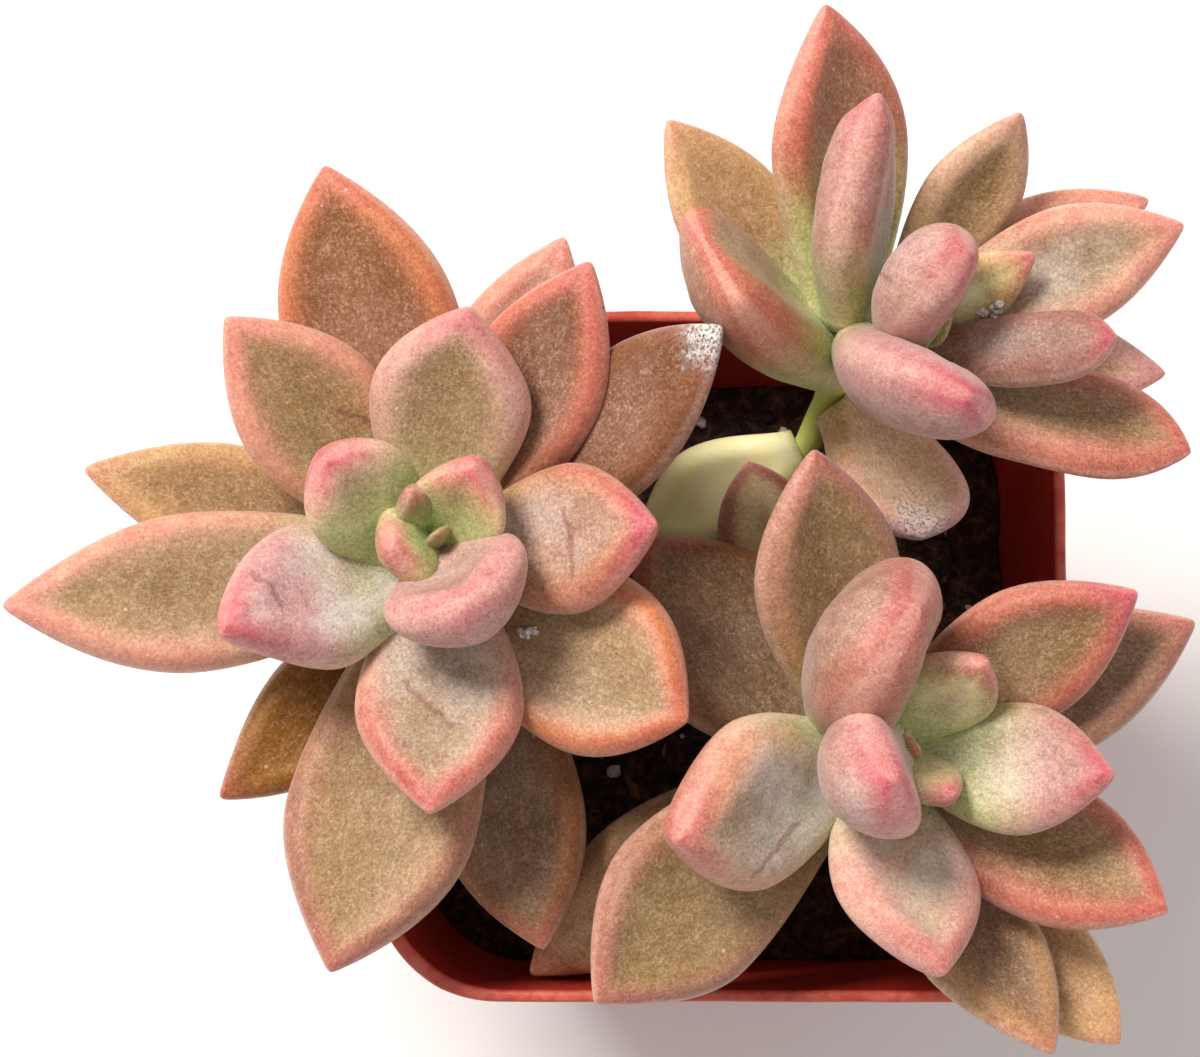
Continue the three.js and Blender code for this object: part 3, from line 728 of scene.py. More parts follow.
def growth_masks(tree, patches, blotches, spread, health):
    """Green reaches up from a leaf's root, red runs down from its tip, furthest along its edges, and
    bloom lies between them."""
    along, rim, from_tip = spread.outputs
    green, blush, bloom = health.outputs
    reached = add_node(tree, "Math", (along, -1.0, green), operation="MULTIPLY_ADD")
    reached = add_node(tree, "Math", (patches, 0.2, reached), operation="MULTIPLY_ADD")
    base = add_node(tree, "MapRange", (reached, -0.06, 0.4, 0.0, 0.9), **SMOOTH)
    nearness = add_node(tree, "Math", (from_tip, 0.5), operation="MULTIPLY")
    for pattern, share in ((rim, 0.8), (blotches, 2.2)):
        nearness = add_node(tree, "Math", (pattern, share, nearness), operation="MULTIPLY_ADD")
    tip = add_node(tree, "MapRange", (nearness, 5.6, 1.4), **SMOOTH)
    tip = add_node(tree, "Math", (tip, blush), operation="MULTIPLY")
    powder = add_node(tree, "MapRange", (patches, 0.3, 0.62, 0.35, 1.0), **SMOOTH)
    inner = add_node(tree, "MapRange", (rim, 0.6, 4.0, 0.3, 1.0), **SMOOTH)
    sheltered = add_node(tree, "MapRange", (along, 0.9, 0.4, 0.4, 1.0), **SMOOTH)
    for mask in (inner, sheltered, bloom):
        powder = add_node(tree, "Math", (powder, mask), operation="MULTIPLY")
    return base, tip, powder, inner


def flaw_masks(tree, blotches, grains, specks, from_tip, crust):
    """Salts that wet mix has left on a leaf's tip, and white dots."""
    salts = add_node(tree, "Math", (blotches, 7.0, from_tip), operation="MULTIPLY_ADD")
    salts = add_node(tree, "MapRange", (salts, 8.0, 4.6), **SMOOTH)
    crumbly = add_node(tree, "MapRange", (grains, 0.36, 0.5), **SMOOTH)
    for mask in (crust, crumbly):
        salts = add_node(tree, "Math", (salts, mask), operation="MULTIPLY")
    chosen = add_node(tree, "SeparateXYZ", [specks.outputs["Color"]])
    chosen = add_node(tree, "Math", (chosen, 0.72), operation="GREATER_THAN")
    dots = add_node(tree, "MapRange", (specks, 0.08, 0.05, 0.0, 0.35), **SMOOTH)
    dots = add_node(tree, "Math", (dots, chosen), operation="MULTIPLY")
    return salts, dots


def frost_mask(tree, blotches, grains, streaks, inner):
    """Single grains of wax that catch the light, thickest in the dish and where the skin is cloudy."""
    light = add_node(tree, "Math", (grains, 0.65), operation="MULTIPLY")
    light = add_node(tree, "Math", (streaks, 0.35, light), operation="MULTIPLY_ADD")
    frost = add_node(tree, "MapRange", (light, 0.48, 0.62, 0.0, 0.3), **SMOOTH)
    gathered = add_node(tree, "MapRange", (blotches, 0.36, 0.6, 0.35, 1.0), **SMOOTH)
    for mask in (inner, gathered):
        frost = add_node(tree, "Math", (frost, mask), operation="MULTIPLY")
    return frost


def leaf_material(colours):
    """Living succulent leaf: thick watery tissue under a skin powdered with wax bloom. The flesh lets a
    little light through, and the powder scatters it, so the skin looks soft and matt."""
    name = "Succulent leaf, grown, powdered with wax bloom"
    if name in bpy.data.materials:
        return bpy.data.materials[name]
    material, tree, shader = start_material(name, {
        "IOR": 1.42, "Subsurface Weight": 0.16, "Subsurface Radius": (1.0, 0.45, 0.25),
        "Subsurface Scale": 1.2 * MM, "Sheen Weight": 0.1, "Sheen Roughness": 0.5,
    })
    spread, health, flaws = [
        add_node(tree, "SeparateXYZ", [add_node(tree, "Attribute", attribute_name=key).outputs["Vector"]])
        for key in ("spread", "health", "flaws")
    ]
    along, rim, from_tip = spread.outputs
    _, crust, bordered = flaws.outputs
    below = add_node(tree, "Attribute", attribute_name="below").outputs["Fac"]
    patches, blotches, grains, specks, streaks = leaf_patterns(tree)
    centre, border, edge = tissue_masks(tree, patches, blotches, along, rim, below, bordered)
    base, tip, powder, inner = growth_masks(tree, patches, blotches, spread, health)
    frost = frost_mask(tree, blotches, grains, streaks, inner)
    scar = scar_mask(tree, blotches)
    salts, dots = flaw_masks(tree, blotches, grains, specks, from_tip, crust)

    colour, heart, margin = [
        add_node(tree, "Attribute", attribute_name=key).outputs["Color"]
        for key in ("face_tint", "centre_tint", "margin_tint")
    ]
    under = add_node(tree, "Math", (below, 0.35), operation="MULTIPLY")
    # The last layer is a painted highlight: a thin pale line along each leaf's edge
    layers = (
        (under, colours.underside), (centre, heart), (border, margin), (base, colours.green_base),
        (powder, colours.bloom), (tip, colours.blushed_tip), (edge, colours.edge),
    )
    for mask, over in layers:
        colour = add_node(tree, "MixRGB", (mask, colour, over))
    shade = add_node(tree, "Math", (grains, 1.3, -0.555), operation="MULTIPLY_ADD")
    for pattern, share in ((streaks, 0.2), (patches, 0.24), (blotches, 0.36)):
        shade = add_node(tree, "Math", (pattern, share, shade), operation="MULTIPLY_ADD")
    colour = add_node(tree, "MixRGB", (0.9, colour, shade), blend_type="OVERLAY")
    layers = ((frost, colours.frost), (scar, colours.scar), (salts, colours.salts), (dots, colours.salts))
    for mask, over in layers:
        colour = add_node(tree, "MixRGB", (mask, colour, over))

    roughness = add_node(tree, "MapRange", (powder, 0.0, 0.5, 0.44, 0.6))
    height = grains
    for pattern, share in ((blotches, 2.0), (scar, -4.0), (salts, 4.0)):
        height = add_node(tree, "Math", (pattern, share, height), operation="MULTIPLY_ADD")
    finish_material(tree, shader, colour, roughness, height, 0.04 * MM)
    return material


def scar_mask(tree, wander):
    """High along the thin crack between the two points that a leaf gives for it, straying by noise."""
    place, start, end, flaws = [
        add_node(tree, "Attribute", attribute_name=key).outputs["Vector"]
        for key in ("place", "scar_from", "scar_to", "flaws")
    ]
    width = add_node(tree, "SeparateXYZ", [flaws])
    reach = add_node(tree, "VectorMath", (end, start), operation="SUBTRACT")
    stray = add_node(tree, "VectorMath", {0: wander.outputs["Color"], "Scale": 1.6}, operation="SCALE")
    spot = add_node(tree, "VectorMath", (place, start), operation="SUBTRACT")
    spot = add_node(tree, "VectorMath", (spot, stray), operation="ADD")
    spot = add_node(tree, "VectorMath", (spot, (1, 1, 0)), operation="MULTIPLY")
    onto = add_node(tree, "VectorMath", (spot, reach), operation="DOT_PRODUCT").outputs["Value"]
    whole = add_node(tree, "VectorMath", (reach, reach), operation="DOT_PRODUCT").outputs["Value"]
    part = add_node(tree, "Math", (onto, whole), operation="DIVIDE", use_clamp=True)
    nearest = add_node(tree, "VectorMath", {0: reach, "Scale": part}, operation="SCALE")
    away = add_node(tree, "VectorMath", (spot, nearest), operation="DISTANCE").outputs["Value"]
    return add_node(tree, "MapRange", {0: away, 1: width, 2: 0.02, 3: 0.0, 4: 0.45}, **SMOOTH)


def stem_material(colours):
    """Succulent stem, still green: smooth watery skin that turns corky where leaves have dropped."""
    name = "Succulent stem, grown, green turning corky"
    if name in bpy.data.materials:
        return bpy.data.materials[name]
    material, tree, shader = start_material(name, {
        "IOR": 1.42, "Subsurface Weight": 0.2, "Subsurface Radius": (0.7, 0.9, 0.2),
        "Subsurface Scale": 1.0 * MM,
    })
    spot = add_node(tree, "TexCoord").outputs["Object"]
    height = add_node(tree, "SeparateXYZ", [spot]).outputs["Z"]
    # Corky blotches 1.5 mm wide, thicker lower down
    cork = add_node(tree, "TexNoise", {"Vector": spot, "Scale": 0.65 / MM, "Detail": 4})
    lower = add_node(tree, "MapRange", (height, 56 * MM, 40 * MM, -0.14, 0.2))
    level = add_node(tree, "Math", (cork, lower), operation="ADD")
    corky = add_node(tree, "MapRange", (level, 0.5, 0.66), **SMOOTH)
    colour = add_node(tree, "MixRGB", (corky, colours.stem, colours.cork))
    roughness = add_node(tree, "MapRange", (corky, 0.0, 1.0, 0.45, 0.8))
    finish_material(tree, shader, colour, roughness, cork, 0.15 * MM)
    return material


def pot_material(colours):
    """Polypropylene, injection moulded: an even brick red with a dull gloss, a faint orange-peel skin and
    dust and water marks on it, with a painted highlight in a ragged band along the top of its lip."""
    material, tree, shader = start_material("Polypropylene, injection moulded", {
        "IOR": 1.49, "Subsurface Weight": 0.06, "Subsurface Radius": (1.0, 0.2, 0.1),
        "Subsurface Scale": 0.8 * MM,
    })
    spot = add_node(tree, "TexCoord").outputs["Object"]
    # Flow clouds 12 mm wide, handling scuffs 2 mm wide, which also break up the painted lip highlight, orange
    # peel 0.6 mm wide
    clouds = add_node(tree, "TexNoise", {"Vector": spot, "Scale": 0.08 / MM, "Detail": 3})
    scuffs = add_node(tree, "TexNoise", {"Vector": spot, "Scale": 0.5 / MM, "Detail": 5, "Roughness": 0.65})
    peel = add_node(tree, "TexNoise", {"Vector": spot, "Scale": 1.6 / MM, "Detail": 2})
    paler = add_node(tree, "MapRange", (clouds, 0.35, 0.75, 0.0, 0.3))
    dust = add_node(tree, "MapRange", (scuffs, 0.58, 0.8, 0.0, 0.25))
    height = add_node(tree, "SeparateXYZ", [spot]).outputs["Z"]
    # Painted highlight: a paler salmon band along the top 0.7 mm of the lip, broken up by the scuffs
    lip = add_node(tree, "MapRange", (height, (POT_HEIGHT - 0.7) * MM, POT_HEIGHT * MM), **SMOOTH)
    ragged_highlight = add_node(tree, "MapRange", (scuffs, 0.35, 0.6, 0.15, 0.75))
    highlighted = add_node(tree, "Math", (lip, ragged_highlight), operation="MULTIPLY")
    colour = colours.pot
    for mask, over in ((paler, colours.pot_pale), (dust, colours.pot_dust), (highlighted, colours.pot_highlight)):
        colour = add_node(tree, "MixRGB", (mask, colour, over))
    roughness = add_node(tree, "MapRange", (scuffs, 0.3, 0.75, 0.3, 0.5))
    finish_material(tree, shader, colour, roughness, peel, 0.03 * MM)
    return material


def soil_material(colours):
    """Peat and bark compost, damp: nearly black crumbs with a few brown ones, quite matt."""
    material, tree, shader = start_material("Peat compost, milled, damp", {"IOR": 1.4})
    spot = add_node(tree, "TexCoord").outputs["Object"]
    # Crumbs 1.2 mm wide and dust 0.3 mm wide
    crumbs = add_node(tree, "TexNoise", {"Vector": spot, "Scale": 0.8 / MM, "Detail": 5, "Roughness": 0.65})
    dust = add_node(tree, "TexNoise", {"Vector": spot, "Scale": 3.3 / MM, "Detail": 3})
    brown = add_node(tree, "MapRange", (crumbs, 0.45, 0.68))
    colour = add_node(tree, "MixRGB", (brown, colours.peat, colours.bark))
    roughness = add_node(tree, "MapRange", (dust, 0.3, 0.7, 0.7, 1.0))
    height = add_node(tree, "Math", (crumbs, dust), operation="ADD")
    finish_material(tree, shader, colour, roughness, height, 0.5 * MM)
    return material


def bark_material():
    """Composted bark and coir fibre, shredded: each bit has its own brown."""
    material, tree, shader = start_material("Bark and coir, shredded", {"IOR": 1.4})
    own = add_node(tree, "Attribute", attribute_name="bit_tint").outputs["Color"]
    spot = add_node(tree, "TexCoord").outputs["Object"]
    # Grain 0.5 mm wide
    grain = add_node(tree, "TexNoise", {"Vector": spot, "Scale": 2.0 / MM, "Detail": 4})
    colour = add_node(tree, "MixRGB", (0.8, own, grain), blend_type="OVERLAY")
    roughness = add_node(tree, "MapRange", (grain, 0.3, 0.7, 0.75, 0.95))
    finish_material(tree, shader, colour, roughness, grain, 0.3 * MM)
    return material


def perlite_material(colours):
    """Perlite, expanded volcanic glass: chalk-white foam grains stained by the wet peat."""
    name = "Perlite, expanded glass"
    if name in bpy.data.materials:
        return bpy.data.materials[name]
    material, tree, shader = start_material(name, {"IOR": 1.5})
    spot = add_node(tree, "TexCoord").outputs["Object"]
    # Foam bubbles 0.35 mm wide and stains 1.5 mm wide
    foam = add_node(tree, "TexVoronoi", {"Vector": spot, "Scale": 2.8 / MM})
    stains = add_node(tree, "TexNoise", {"Vector": spot, "Scale": 0.65 / MM, "Detail": 3})
    stained = add_node(tree, "MapRange", (stains, 0.45, 0.75, 0.0, 0.7))
    colour = add_node(tree, "MixRGB", (stained, colours.perlite, colours.bark_pale))
    roughness = add_node(tree, "MapRange", (foam, 0.0, 0.6, 0.9, 0.7))
    finish_material(tree, shader, colour, roughness, foam, 0.15 * MM)
    return material


# Pot

def outer_half(z):
    """Half the pot's width outside at a height, below its rim band."""
    wall_top = RIM_HALF - LIP + WALL
    return BASE_HALF + (wall_top - BASE_HALF) * z / POT_HEIGHT


def inner_half(z):
    """Half the pot's width inside at a height."""
    return outer_half(z) - WALL


def arc(centre, radius, start, end, steps=5):
    """Points of a round edge in the pot's profile, from one angle to another in degrees."""
    turns = [math.radians(start + (end - start) * k / steps) for k in range(steps + 1)]
    return [(centre[0] + radius * math.cos(turn), centre[1] + radius * math.sin(turn)) for turn in turns]


def square_ring(half, z, corner_steps, side_steps):
    """Points round a square with round corners, counterclockwise from above."""
    radius = CORNER_SHARE * half
    flat = half - radius
    ring = []
    for quarter in range(4):
        turn = (quarter - 1) * math.pi / 2
        course = [(half, flat * (2 * k / side_steps - 1)) for k in range(side_steps)]
        course += [
            (flat + radius * math.cos(swing), flat + radius * math.sin(swing))
            for swing in (math.pi / 2 * k / corner_steps for k in range(corner_steps))
        ]
        for out, across in course:
            x = out * math.cos(turn) - across * math.sin(turn)
            y = out * math.sin(turn) + across * math.cos(turn)
            ring.append((x, y, z))
    return ring


def pot_profile():
    """Half size and height of each ring of the pot, from under its base over its lip to its floor."""
    band_foot = POT_HEIGHT - BAND_DEPTH
    lip_radius = LIP * LIP_ROUND_SHARE
    profile = [(SMALLEST_RING, 0), (8, 0), (BASE_HALF - 4, 0)]
    profile += arc((outer_half(FOOT_ROUND) - FOOT_ROUND, FOOT_ROUND), FOOT_ROUND, -90, -9)
    profile += [(outer_half(z), z) for z in (*range(6, 47, 8), band_foot - 0.5, band_foot)]
    profile += arc((RIM_HALF - BAND_TAPER - EDGE_ROUND, band_foot + 0.5), EDGE_ROUND, -80, 0, 3)
    profile += arc((RIM_HALF - lip_radius, POT_HEIGHT - lip_radius), lip_radius, 0, 90)
    profile += arc((RIM_HALF - LIP + lip_radius, POT_HEIGHT - lip_radius), lip_radius, 90, 180)
    profile += [(inner_half(z), z) for z in range(54, 5, -8)]
    profile += arc((inner_half(FLOOR_TURN) - FLOOR_FILLET, FLOOR_TURN), FLOOR_FILLET, 0, -90)
    profile += [(half, FLOOR_THICKNESS) for half in (BASE_HALF - 6, 8, SMALLEST_RING)]
    return profile


def lip_wave(x, y):
    """The thin lip isn't quite flat or straight: how far it strays, in millimetres."""
    turn = math.atan2(y, x)
    return sum(height * math.sin(number * turn + start) for height, number, start in LIP_WAVES)


def pot_piece(context):
    """The pot as one skin from its profile, with its drainage holes drilled."""
    corner_steps, side_steps = 24, 16
    rings = []
    for half, z in pot_profile():
        share = smooth_step(z, POT_HEIGHT - 7, POT_HEIGHT)
        for x, y, height in square_ring(half, z, corner_steps, side_steps):
            stray = abs(share * lip_wave(x, y))
            shrink = 1 - 0.5 * stray / max(half, 1)
            rings.append((x * shrink, y * shrink, height - stray))
    sides = 4 * (corner_steps + side_steps)
    faces = tube_faces(len(rings) // sides, sides)
    pot = make_mesh("pot_shell", rings, faces, [pot_material(context.scene.ghost_plant_colours)])
    for x in (-DRAIN_OFFSET, DRAIN_OFFSET):
        for y in (-DRAIN_OFFSET, DRAIN_OFFSET):
            cut_hole(pot, x, y)
    hang(pot, "pot", "pot")


def cut_hole(pot, x, y):
    """Drills one round drainage hole through the pot's floor."""
    steps = 32
    turns = [2 * math.pi * k / steps for k in range(steps)]
    points = [
        (x + DRAIN_RADIUS * math.cos(turn), y + DRAIN_RADIUS * math.sin(turn), z)
        for z in (-FLOOR_THICKNESS, 2 * FLOOR_THICKNESS) for turn in turns
    ]
    drill = make_mesh("drill", points, tube_faces(2, steps), [])
    cut = pot.modifiers.new("drainage", "BOOLEAN")
    cut.operation = "DIFFERENCE"
    cut.object = drill
    depsgraph = bpy.context.evaluated_depsgraph_get()
    finished = bpy.data.meshes.new_from_object(pot.evaluated_get(depsgraph))
    pot.modifiers.clear()
    pot.data = finished
    bpy.data.objects.remove(drill)


# Potting mix

def soil_height(x, y):
    """The mix's gently uneven level."""
    rolls = math.sin(0.21 * x + 1.1) * math.cos(0.17 * y - 0.4)
    lumps = math.sin(0.63 * x - 0.5 * y) + math.cos(0.48 * x + 0.71 * y + 0.8)
    return SOIL_TOP + SOIL_RELIEF * (0.6 * rolls + 0.3 * lumps)


def crumbly_height(x, y):
    """The mix's surface with its crumbs, 1 to 3 mm wide."""
    crumbs = noise.fractal(Vector((0.45 * x, 0.45 * y, 3.1)), 0.8, 2.1, 4)
    grit = noise.noise(Vector((1.6 * x, 1.6 * y, 9.7)))
    return soil_height(x, y) + 0.7 * crumbs + 0.3 * grit


def soil_piece(context):
    """The mix as one body: rings from its middle to the wall, then down the wall to the floor."""
    corner_steps, side_steps, ring_count = 14, 34, 74
    edge = inner_half(SOIL_TOP) - WALL_GAP
    points = []
    for share in np.linspace(SMALLEST_RING, 1, ring_count):
        sunk = WALL_SINK * max(0.0, share - SINK_START) / (1 - SINK_START)
        for x, y, _ in square_ring(share * edge, 0, corner_steps, side_steps):
            points.append((x, y, crumbly_height(x, y) - sunk))
    foot = (FLOOR_THICKNESS + 1.4, FLOOR_THICKNESS + 0.05)
    for z in (SOIL_TOP - 4, *foot):
        half = inner_half(z) - 2 * WALL_GAP - (FLOOR_FILLET if z == foot[1] else 0)
        points += square_ring(half, z, corner_steps, side_steps)
    sides = 4 * (corner_steps + side_steps)
    faces = [list(reversed(face)) for face in tube_faces(len(points) // sides, sides)]
    soil = make_mesh("potting_mix", points, faces, [soil_material(context.scene.ghost_plant_colours)])
    hang(soil, "soil", "soil")


def round_lump(detail):
    """Points and faces of a rough ball of radius 1, to be squeezed into a grain."""
    rings, sides = detail, detail + 2
    points = [(0, 0, 1)]
    for ring in range(1, rings):
        polar = math.pi * ring / rings
        for side in range(sides):
            turn = 2 * math.pi * (side + 0.5 * (ring % 2)) / sides
            out = math.sin(polar)
            points.append((out * math.cos(turn), out * math.sin(turn), math.cos(polar)))
    points.append((0, 0, -1))
    faces = []
    for side in range(sides):
        after = (side + 1) % sides
        faces.append([0, 1 + side, 1 + after])
        faces.append([len(points) - 1, len(points) - 2 - side, len(points) - 2 - after])
    for ring in range(rings - 2):
        start = 1 + ring * sides
        for side in range(sides):
            after = (side + 1) % sides
            faces.append([start + side, start + sides + side, start + sides + after, start + after])
    return np.array(points), faces


def random_turn(chance):
    """A random rotation as a 3 by 3 matrix."""
    return np.array(Quaternion(unit(chance.normal(size=4))).to_matrix())


def grain(chance, size, shape, rough, detail):
    """One grain: a lump squeezed to its shape, with knocked-in sides, turned at random."""
    points, faces = round_lump(detail)
    bumps = np.array([noise.noise(Vector(point) * 1.7 + Vector((size * 31, 0, 0))) for point in points])
    points = points * (1 + rough * bumps)[:, None] * np.array(shape) * size / 2
    return points @ random_turn(chance).T, faces


def soil_spot(chance, margin):
    """A random place on the mix, clear of the pot's wall."""
    half = inner_half(SOIL_TOP) - margin
    corner = 0.2 * half
    while True:
        x, y = chance.uniform(-half, half, 2)
        if math.hypot(max(abs(x) - half + corner, 0), max(abs(y) - half + corner, 0)) < corner:
            return x, y


def loose_piece(name, grains, material):
    """One piece of many loose grains, each given by its points and faces."""
    points, faces = [], []
    for own, own_faces in grains:
        join_in(points, faces, own, own_faces)
    piece = make_mesh(name, np.concatenate(points), faces, [material])
    hang(piece, "soil")
    return piece


def soil_bits_piece(context):
    """Bits of bark and threads of coir that lie on the mix."""
    sizes = context.scene.ghost_plant_sizes
    chance = np.random.default_rng(BITS_SEED)
    half = inner_half(SOIL_TOP) - 0.5
    browns = [linear(shade) for shade in BARK_SHADES]
    bits, tints = [], []
    for number in range(sizes.bark_bits):
        x, y = soil_spot(chance, 1.8)
        if number % 5 == 0:
            size = chance.uniform(SHORTEST_COIR_SHARE, 1) * sizes.coir_length / MM
            own, sides = grain(chance, size, (1, 0.07, 0.06), 0.9, 6)
            flatness, lift = 0.25, 0.04 * size
        else:
            size = SMALLEST_BARK + (sizes.bark_size / MM - SMALLEST_BARK) * chance.random() ** 2.5
            shape = (1, chance.uniform(0.45, 0.8), chance.uniform(0.25, 0.6))
            own, sides = grain(chance, size, shape, 0.35, 6)
            flatness, lift = 0.7, 0.1 * size
        own[:, :2] = np.clip(own[:, :2] + (x, y), -half, half)
        own[:, 2] = flatness * own[:, 2] + crumbly_height(x, y) + lift
        bits.append((own, sides))
        tints.append(np.tile(browns[chance.choice(len(browns), p=BARK_ODDS)], (len(own), 1)))
    piece = loose_piece("bark_bits", bits, bark_material())
    give_values(piece.data, "bit_tint", "FLOAT_COLOR", np.concatenate(tints))


def perlite_piece(context):
    """White grains of perlite, some where the photo shows them and some strewn by chance."""
    sizes = context.scene.ghost_plant_sizes
    chance = np.random.default_rng(PERLITE_SEED)
    spots = list(PERLITE)
    while len(spots) < sizes.perlite_grains:
        x, y = soil_spot(chance, 2.2)
        size = SMALLEST_PERLITE + (sizes.perlite_size / MM - SMALLEST_PERLITE) * chance.random() ** 2
        spots.append((x, y, size))
    grains = []
    for x, y, size in spots:
        own, sides = grain(chance, size, (1, 0.8, 0.7), 0.5, 9)
        grains.append((own + (x, y, crumbly_height(x, y) + 0.15 * size), sides))
    loose_piece("perlite", grains, perlite_material(context.scene.ghost_plant_colours))


def lodged_crumbs_piece(context, plants):
    """White crumbs that were caught between leaves when the plant was potted."""
    chance = np.random.default_rng(CRUMBS_SEED)
    nets = [BVHTree.FromObject(plant, context.evaluated_depsgraph_get()) for plant in plants]
    crumbs = []
    for x, y, spread, count in LODGED:
        for _ in range(count):
            place = np.array([x, y]) + chance.uniform(-spread, spread, 2)
            size = chance.uniform(*CRUMB_SIZES)
            start = Vector((*place, CAD_BOX[1][2] / MM + 10)) * MM
            hits = [net.ray_cast(start, Vector((0, 0, -1)))[0] for net in nets]
            top = max(hit.z for hit in hits if hit) / MM
            own, sides = grain(chance, size, (1, 0.75, 0.6), 0.6, 8)
            crumbs.append((own + (*place, top + 0.2 * size), sides))
    loose_piece("lodged_crumbs", crumbs, perlite_material(context.scene.ghost_plant_colours))


# Stage

def add_lamp(name, place, size, power, colour):
    """A round area light that looks at the plant."""
    data = bpy.data.lights.new(name, "AREA")
    data.shape = "DISK"
    data.size = size
    data.energy = power
    data.color = linear(colour)[:3]
    lamp = bpy.data.objects.new(name, data)
    bpy.context.scene.collection.objects.link(lamp)
    lamp.location = place
    aim = Vector((0, 0, AIM_HEIGHT * MM)) - Vector(place)
    lamp.rotation_euler = aim.to_track_quat("-Z", "Y").to_euler()


def stage_pieces(context):
    """A plain pale floor, soft studio light and the camera at the photo's place."""
    scene = context.scene
    scene.view_settings.view_transform = "Standard"
    paint = {"Roughness": 0.9, "Base Color": linear("#f6f5f3")}
    material, *_ = start_material("Studio floor, matt paint", paint)
    corners = [(FLOOR_REACH * x, FLOOR_REACH * y, 0) for x, y in ((-1, -1), (1, -1), (1, 1), (-1, 1))]
    floor = make_mesh("studio_floor", corners, [[0, 1, 2, 3]], [material], smooth=False)

    world = bpy.data.worlds.new("soft white studio")
    scene.world = world
    world.use_nodes = True
    background = world.node_tree.nodes["Background"]
    background.inputs["Color"].default_value = linear("#fbfaf8")
    background.inputs["Strength"].default_value = SKY_STRENGTH
    for lamp in LAMPS:
        add_lamp(*lamp)

    data = bpy.data.cameras.new("camera")
    data.sensor_width = SENSOR
    data.lens = FOCAL_PIXELS / IMAGE_WIDTH * SENSOR
    data.clip_start = 0.01
    camera = bpy.data.objects.new("camera", data)
    scene.collection.objects.link(camera)
    camera.location = Vector(CAMERA_PLACE) * MM
    camera.rotation_euler = (math.radians(CAMERA_TILT), 0, 0)
    scene.camera = camera


# Sizes and colours that a user may change

def colour_property(name, shade, description):
    """A colour that a user may change, from its sRGB hex value."""
    return bpy.props.FloatVectorProperty(
        name=name, description=description, subtype="COLOR", size=4, min=0, max=1, default=linear(shade))


def length_property(name, millimetres, description):
    """A length that a user may change, kept in metres."""
    return bpy.props.FloatProperty(
        name=name, description=description, subtype="DISTANCE", unit="LENGTH", min=0, precision=4,
        default=millimetres * MM)


class GhostPlantSizes(bpy.types.PropertyGroup):
    """How fine the leaves are and how much lies in the potting mix."""

    leaf_border: length_property("Leaf border", BORDER, "Width of the raised border of a leaf's upper face")
    leaf_dish: length_property("Leaf dish", DISH, "Depth of the shallow dish inside that border")
    bark_size: length_property("Bark size", 3.0, "Width of the largest bits of bark")
    coir_length: length_property("Coir length", 6.0, "Length of the longest threads of coir")
    perlite_size: length_property("Perlite size", 2.1, "Width of the largest strewn grains of perlite")
    leaf_rings: bpy.props.IntProperty(
        name="Leaf rings", description="Cross-sections from a leaf's root to its tip", default=38, min=8)
    leaf_sides: bpy.props.IntProperty(
        name="Leaf sides", description="Points round each cross-section of a leaf", default=44, min=8)
    bark_bits: bpy.props.IntProperty(
        name="Bark bits", description="Bits of bark and coir on the potting mix", default=620, min=0)
    perlite_grains: bpy.props.IntProperty(
        name="Perlite grains", description="White grains on the potting mix", default=48, min=0)


class GhostPlantColours(bpy.types.PropertyGroup):
    """Colours of the parts that aren't set leaf by leaf."""

    underside: colour_property("Underside", "#a88676", "Leaf underside tissue")
    green_base: colour_property("Green base", "#b2bf76", "Leaf tissue near a young leaf's root")
    blushed_tip: colour_property("Blushed tip", "#c85a64", "Sun-reddened leaf tip")
    bloom: colour_property("Bloom", "#d0c6c2", "Powdery wax bloom")
    frost: colour_property("Frost", "#e0cabb", "Single light grains of wax on the skin")
    # Painted highlight along the very edge of each leaf
    edge: colour_property("Edge", "#f0c8b4", "Thin translucent edge of a leaf")
    scar: colour_property("Scar", "#7a3438", "Healed crack in the skin")
    salts: colour_property("Salts", "#eae4de", "Dried mineral salts on a leaf tip")
    stem: colour_property("Stem", "#d2e07a", "Young green stem")
    cork: colour_property("Cork", "#9a8458", "Corky patches on the stem")
    pot: colour_property("Pot", "#ae2c22", "Moulded plastic of the pot")
    pot_pale: colour_property("Pot, pale", "#b0463a", "Paler flow clouds in the plastic")
    # Painted highlight along the top of the pot's lip
    pot_highlight: colour_property("Pot, worn", "#d8705c", "Rubbed plastic along the lip")
    pot_dust: colour_property("Pot, dust", "#b98a78", "Dust and water marks on the plastic")
    peat: colour_property("Peat", "#2c1d15", "Damp peat crumbs")
    bark: colour_property("Bark", "#6c4a33", "Brown crumbs")
    bark_pale: colour_property("Bark, pale", "#9a7e62", "Peat stain on perlite")
    perlite: colour_property("Perlite", "#e6e0d8", "Perlite grains")


# Operators

class GHOSTPLANT_OT_pot(bpy.types.Operator):
    """Builds the square nursery pot"""

    bl_idname = "ghostplant.pot"
    bl_label = "Pot"

    def execute(self, context):
        pot_piece(context)
        return {"FINISHED"}


class GHOSTPLANT_OT_potting_mix(bpy.types.Operator):
    """Builds the potting mix with its bark, coir and perlite"""

    bl_idname = "ghostplant.potting_mix"
    bl_label = "Potting mix"

    def execute(self, context):
        soil_piece(context)
        soil_bits_piece(context)
        perlite_piece(context)
        return {"FINISHED"}


class GHOSTPLANT_OT_leafy_stems(bpy.types.Operator):
    """Builds the three leafy stems"""

    bl_idname = "ghostplant.leafy_stems"
    bl_label = "Leafy stems"

    def execute(self, context):
        for seed, (name, node, rosette) in enumerate(STEMS, STEMS_SEED):
            piece = plant_piece(name, node, rosette, context.scene.ghost_plant_sizes, seed)
            if not piece.data.polygons:
                raise RuntimeError(name + " has no leaves")
        return {"FINISHED"}


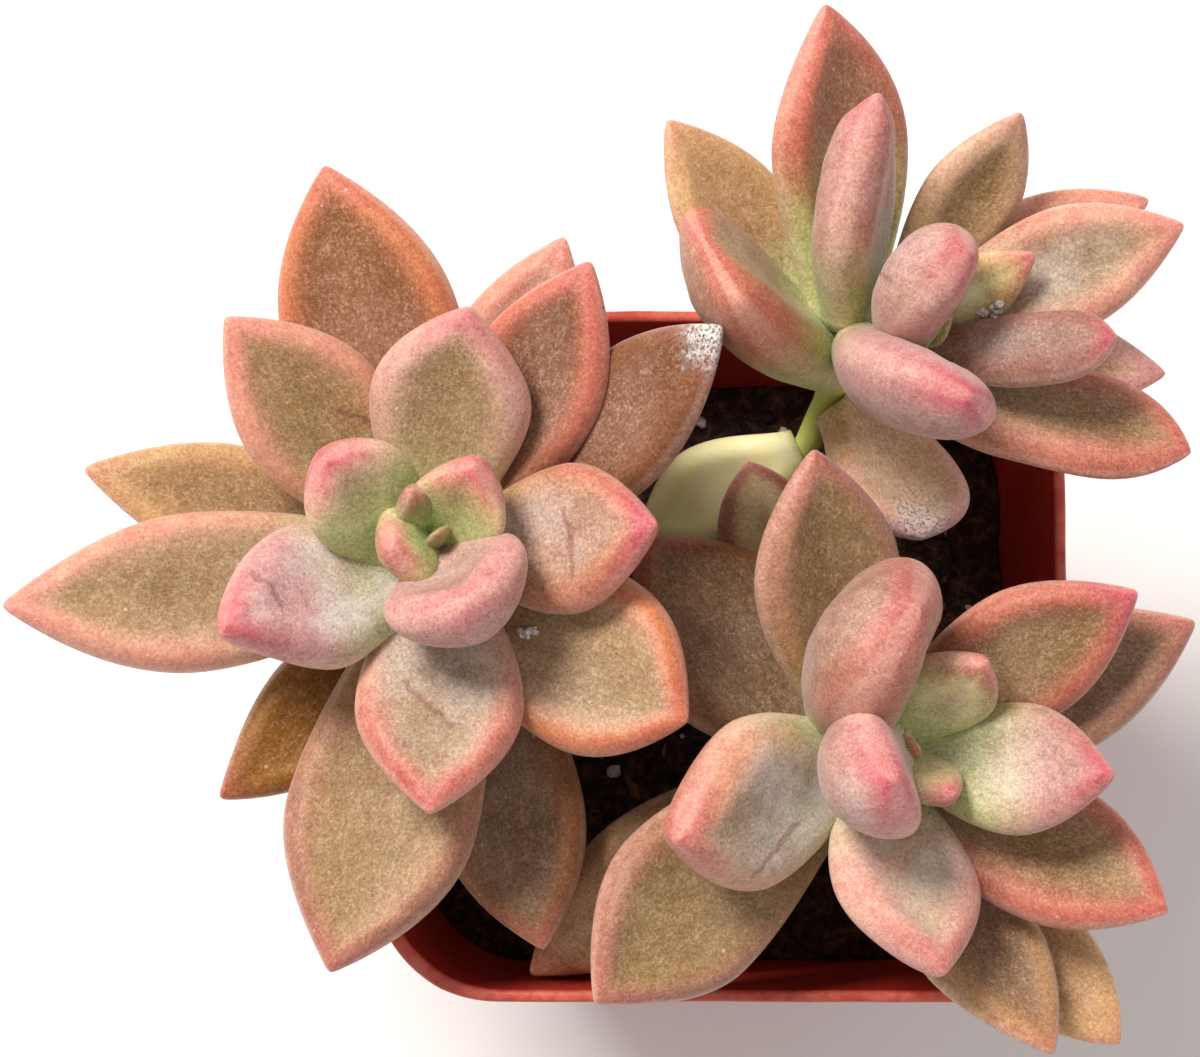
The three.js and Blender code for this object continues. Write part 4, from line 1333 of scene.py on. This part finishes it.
class GHOSTPLANT_OT_lodged_crumbs(bpy.types.Operator):
    """Drops a few white crumbs of the mix on the leaves"""

    bl_idname = "ghostplant.lodged_crumbs"
    bl_label = "Crumbs on the leaves"

    def execute(self, context):
        pieces = context.scene.objects
        plants = [pieces[name] for name, _, _ in STEMS if name in pieces]
        if not plants:
            raise RuntimeError("the crumbs need the leafy stems to lie on")
        lodged_crumbs_piece(context, plants)
        return {"FINISHED"}


class GHOSTPLANT_OT_stage(bpy.types.Operator):
    """Sets up the floor, the soft light and the camera"""

    bl_idname = "ghostplant.stage"
    bl_label = "Stage"

    def execute(self, context):
        stage_pieces(context)
        return {"FINISHED"}


class GHOSTPLANT_PT_panel(bpy.types.Panel):
    """Lists the pieces of the potted ghost plant"""

    bl_idname = "GHOSTPLANT_PT_panel"
    bl_label = "Potted ghost plant"
    bl_space_type = "VIEW_3D"
    bl_region_type = "UI"
    bl_category = "Ghost plant"

    def draw(self, context):
        for operator in OPERATORS:
            self.layout.operator(operator.bl_idname)
        for group in (context.scene.ghost_plant_sizes, context.scene.ghost_plant_colours):
            box = self.layout.box()
            for key in group.__annotations__:
                box.prop(group, key)


OPERATORS = (
    GHOSTPLANT_OT_stage, GHOSTPLANT_OT_pot, GHOSTPLANT_OT_potting_mix, GHOSTPLANT_OT_leafy_stems,
    GHOSTPLANT_OT_lodged_crumbs,
)
CLASSES = (GhostPlantSizes, GhostPlantColours, *OPERATORS, GHOSTPLANT_PT_panel)


def register():
    """Adds the panel, its operators and the sizes and colours that they use."""
    for made in CLASSES:
        bpy.utils.register_class(made)
    bpy.types.Scene.ghost_plant_sizes = bpy.props.PointerProperty(type=GhostPlantSizes)
    bpy.types.Scene.ghost_plant_colours = bpy.props.PointerProperty(type=GhostPlantColours)


def unregister():
    """Takes away what register() added."""
    del bpy.types.Scene.ghost_plant_colours
    del bpy.types.Scene.ghost_plant_sizes
    for made in reversed(CLASSES):
        bpy.utils.unregister_class(made)


def main():
    """Builds the stage and every piece."""
    register()
    bpy.ops.ghostplant.stage()
    bpy.ops.ghostplant.pot()
    bpy.ops.ghostplant.potting_mix()
    bpy.ops.ghostplant.leafy_stems()
    bpy.ops.ghostplant.lodged_crumbs()


if __name__ == "__main__":
    main()
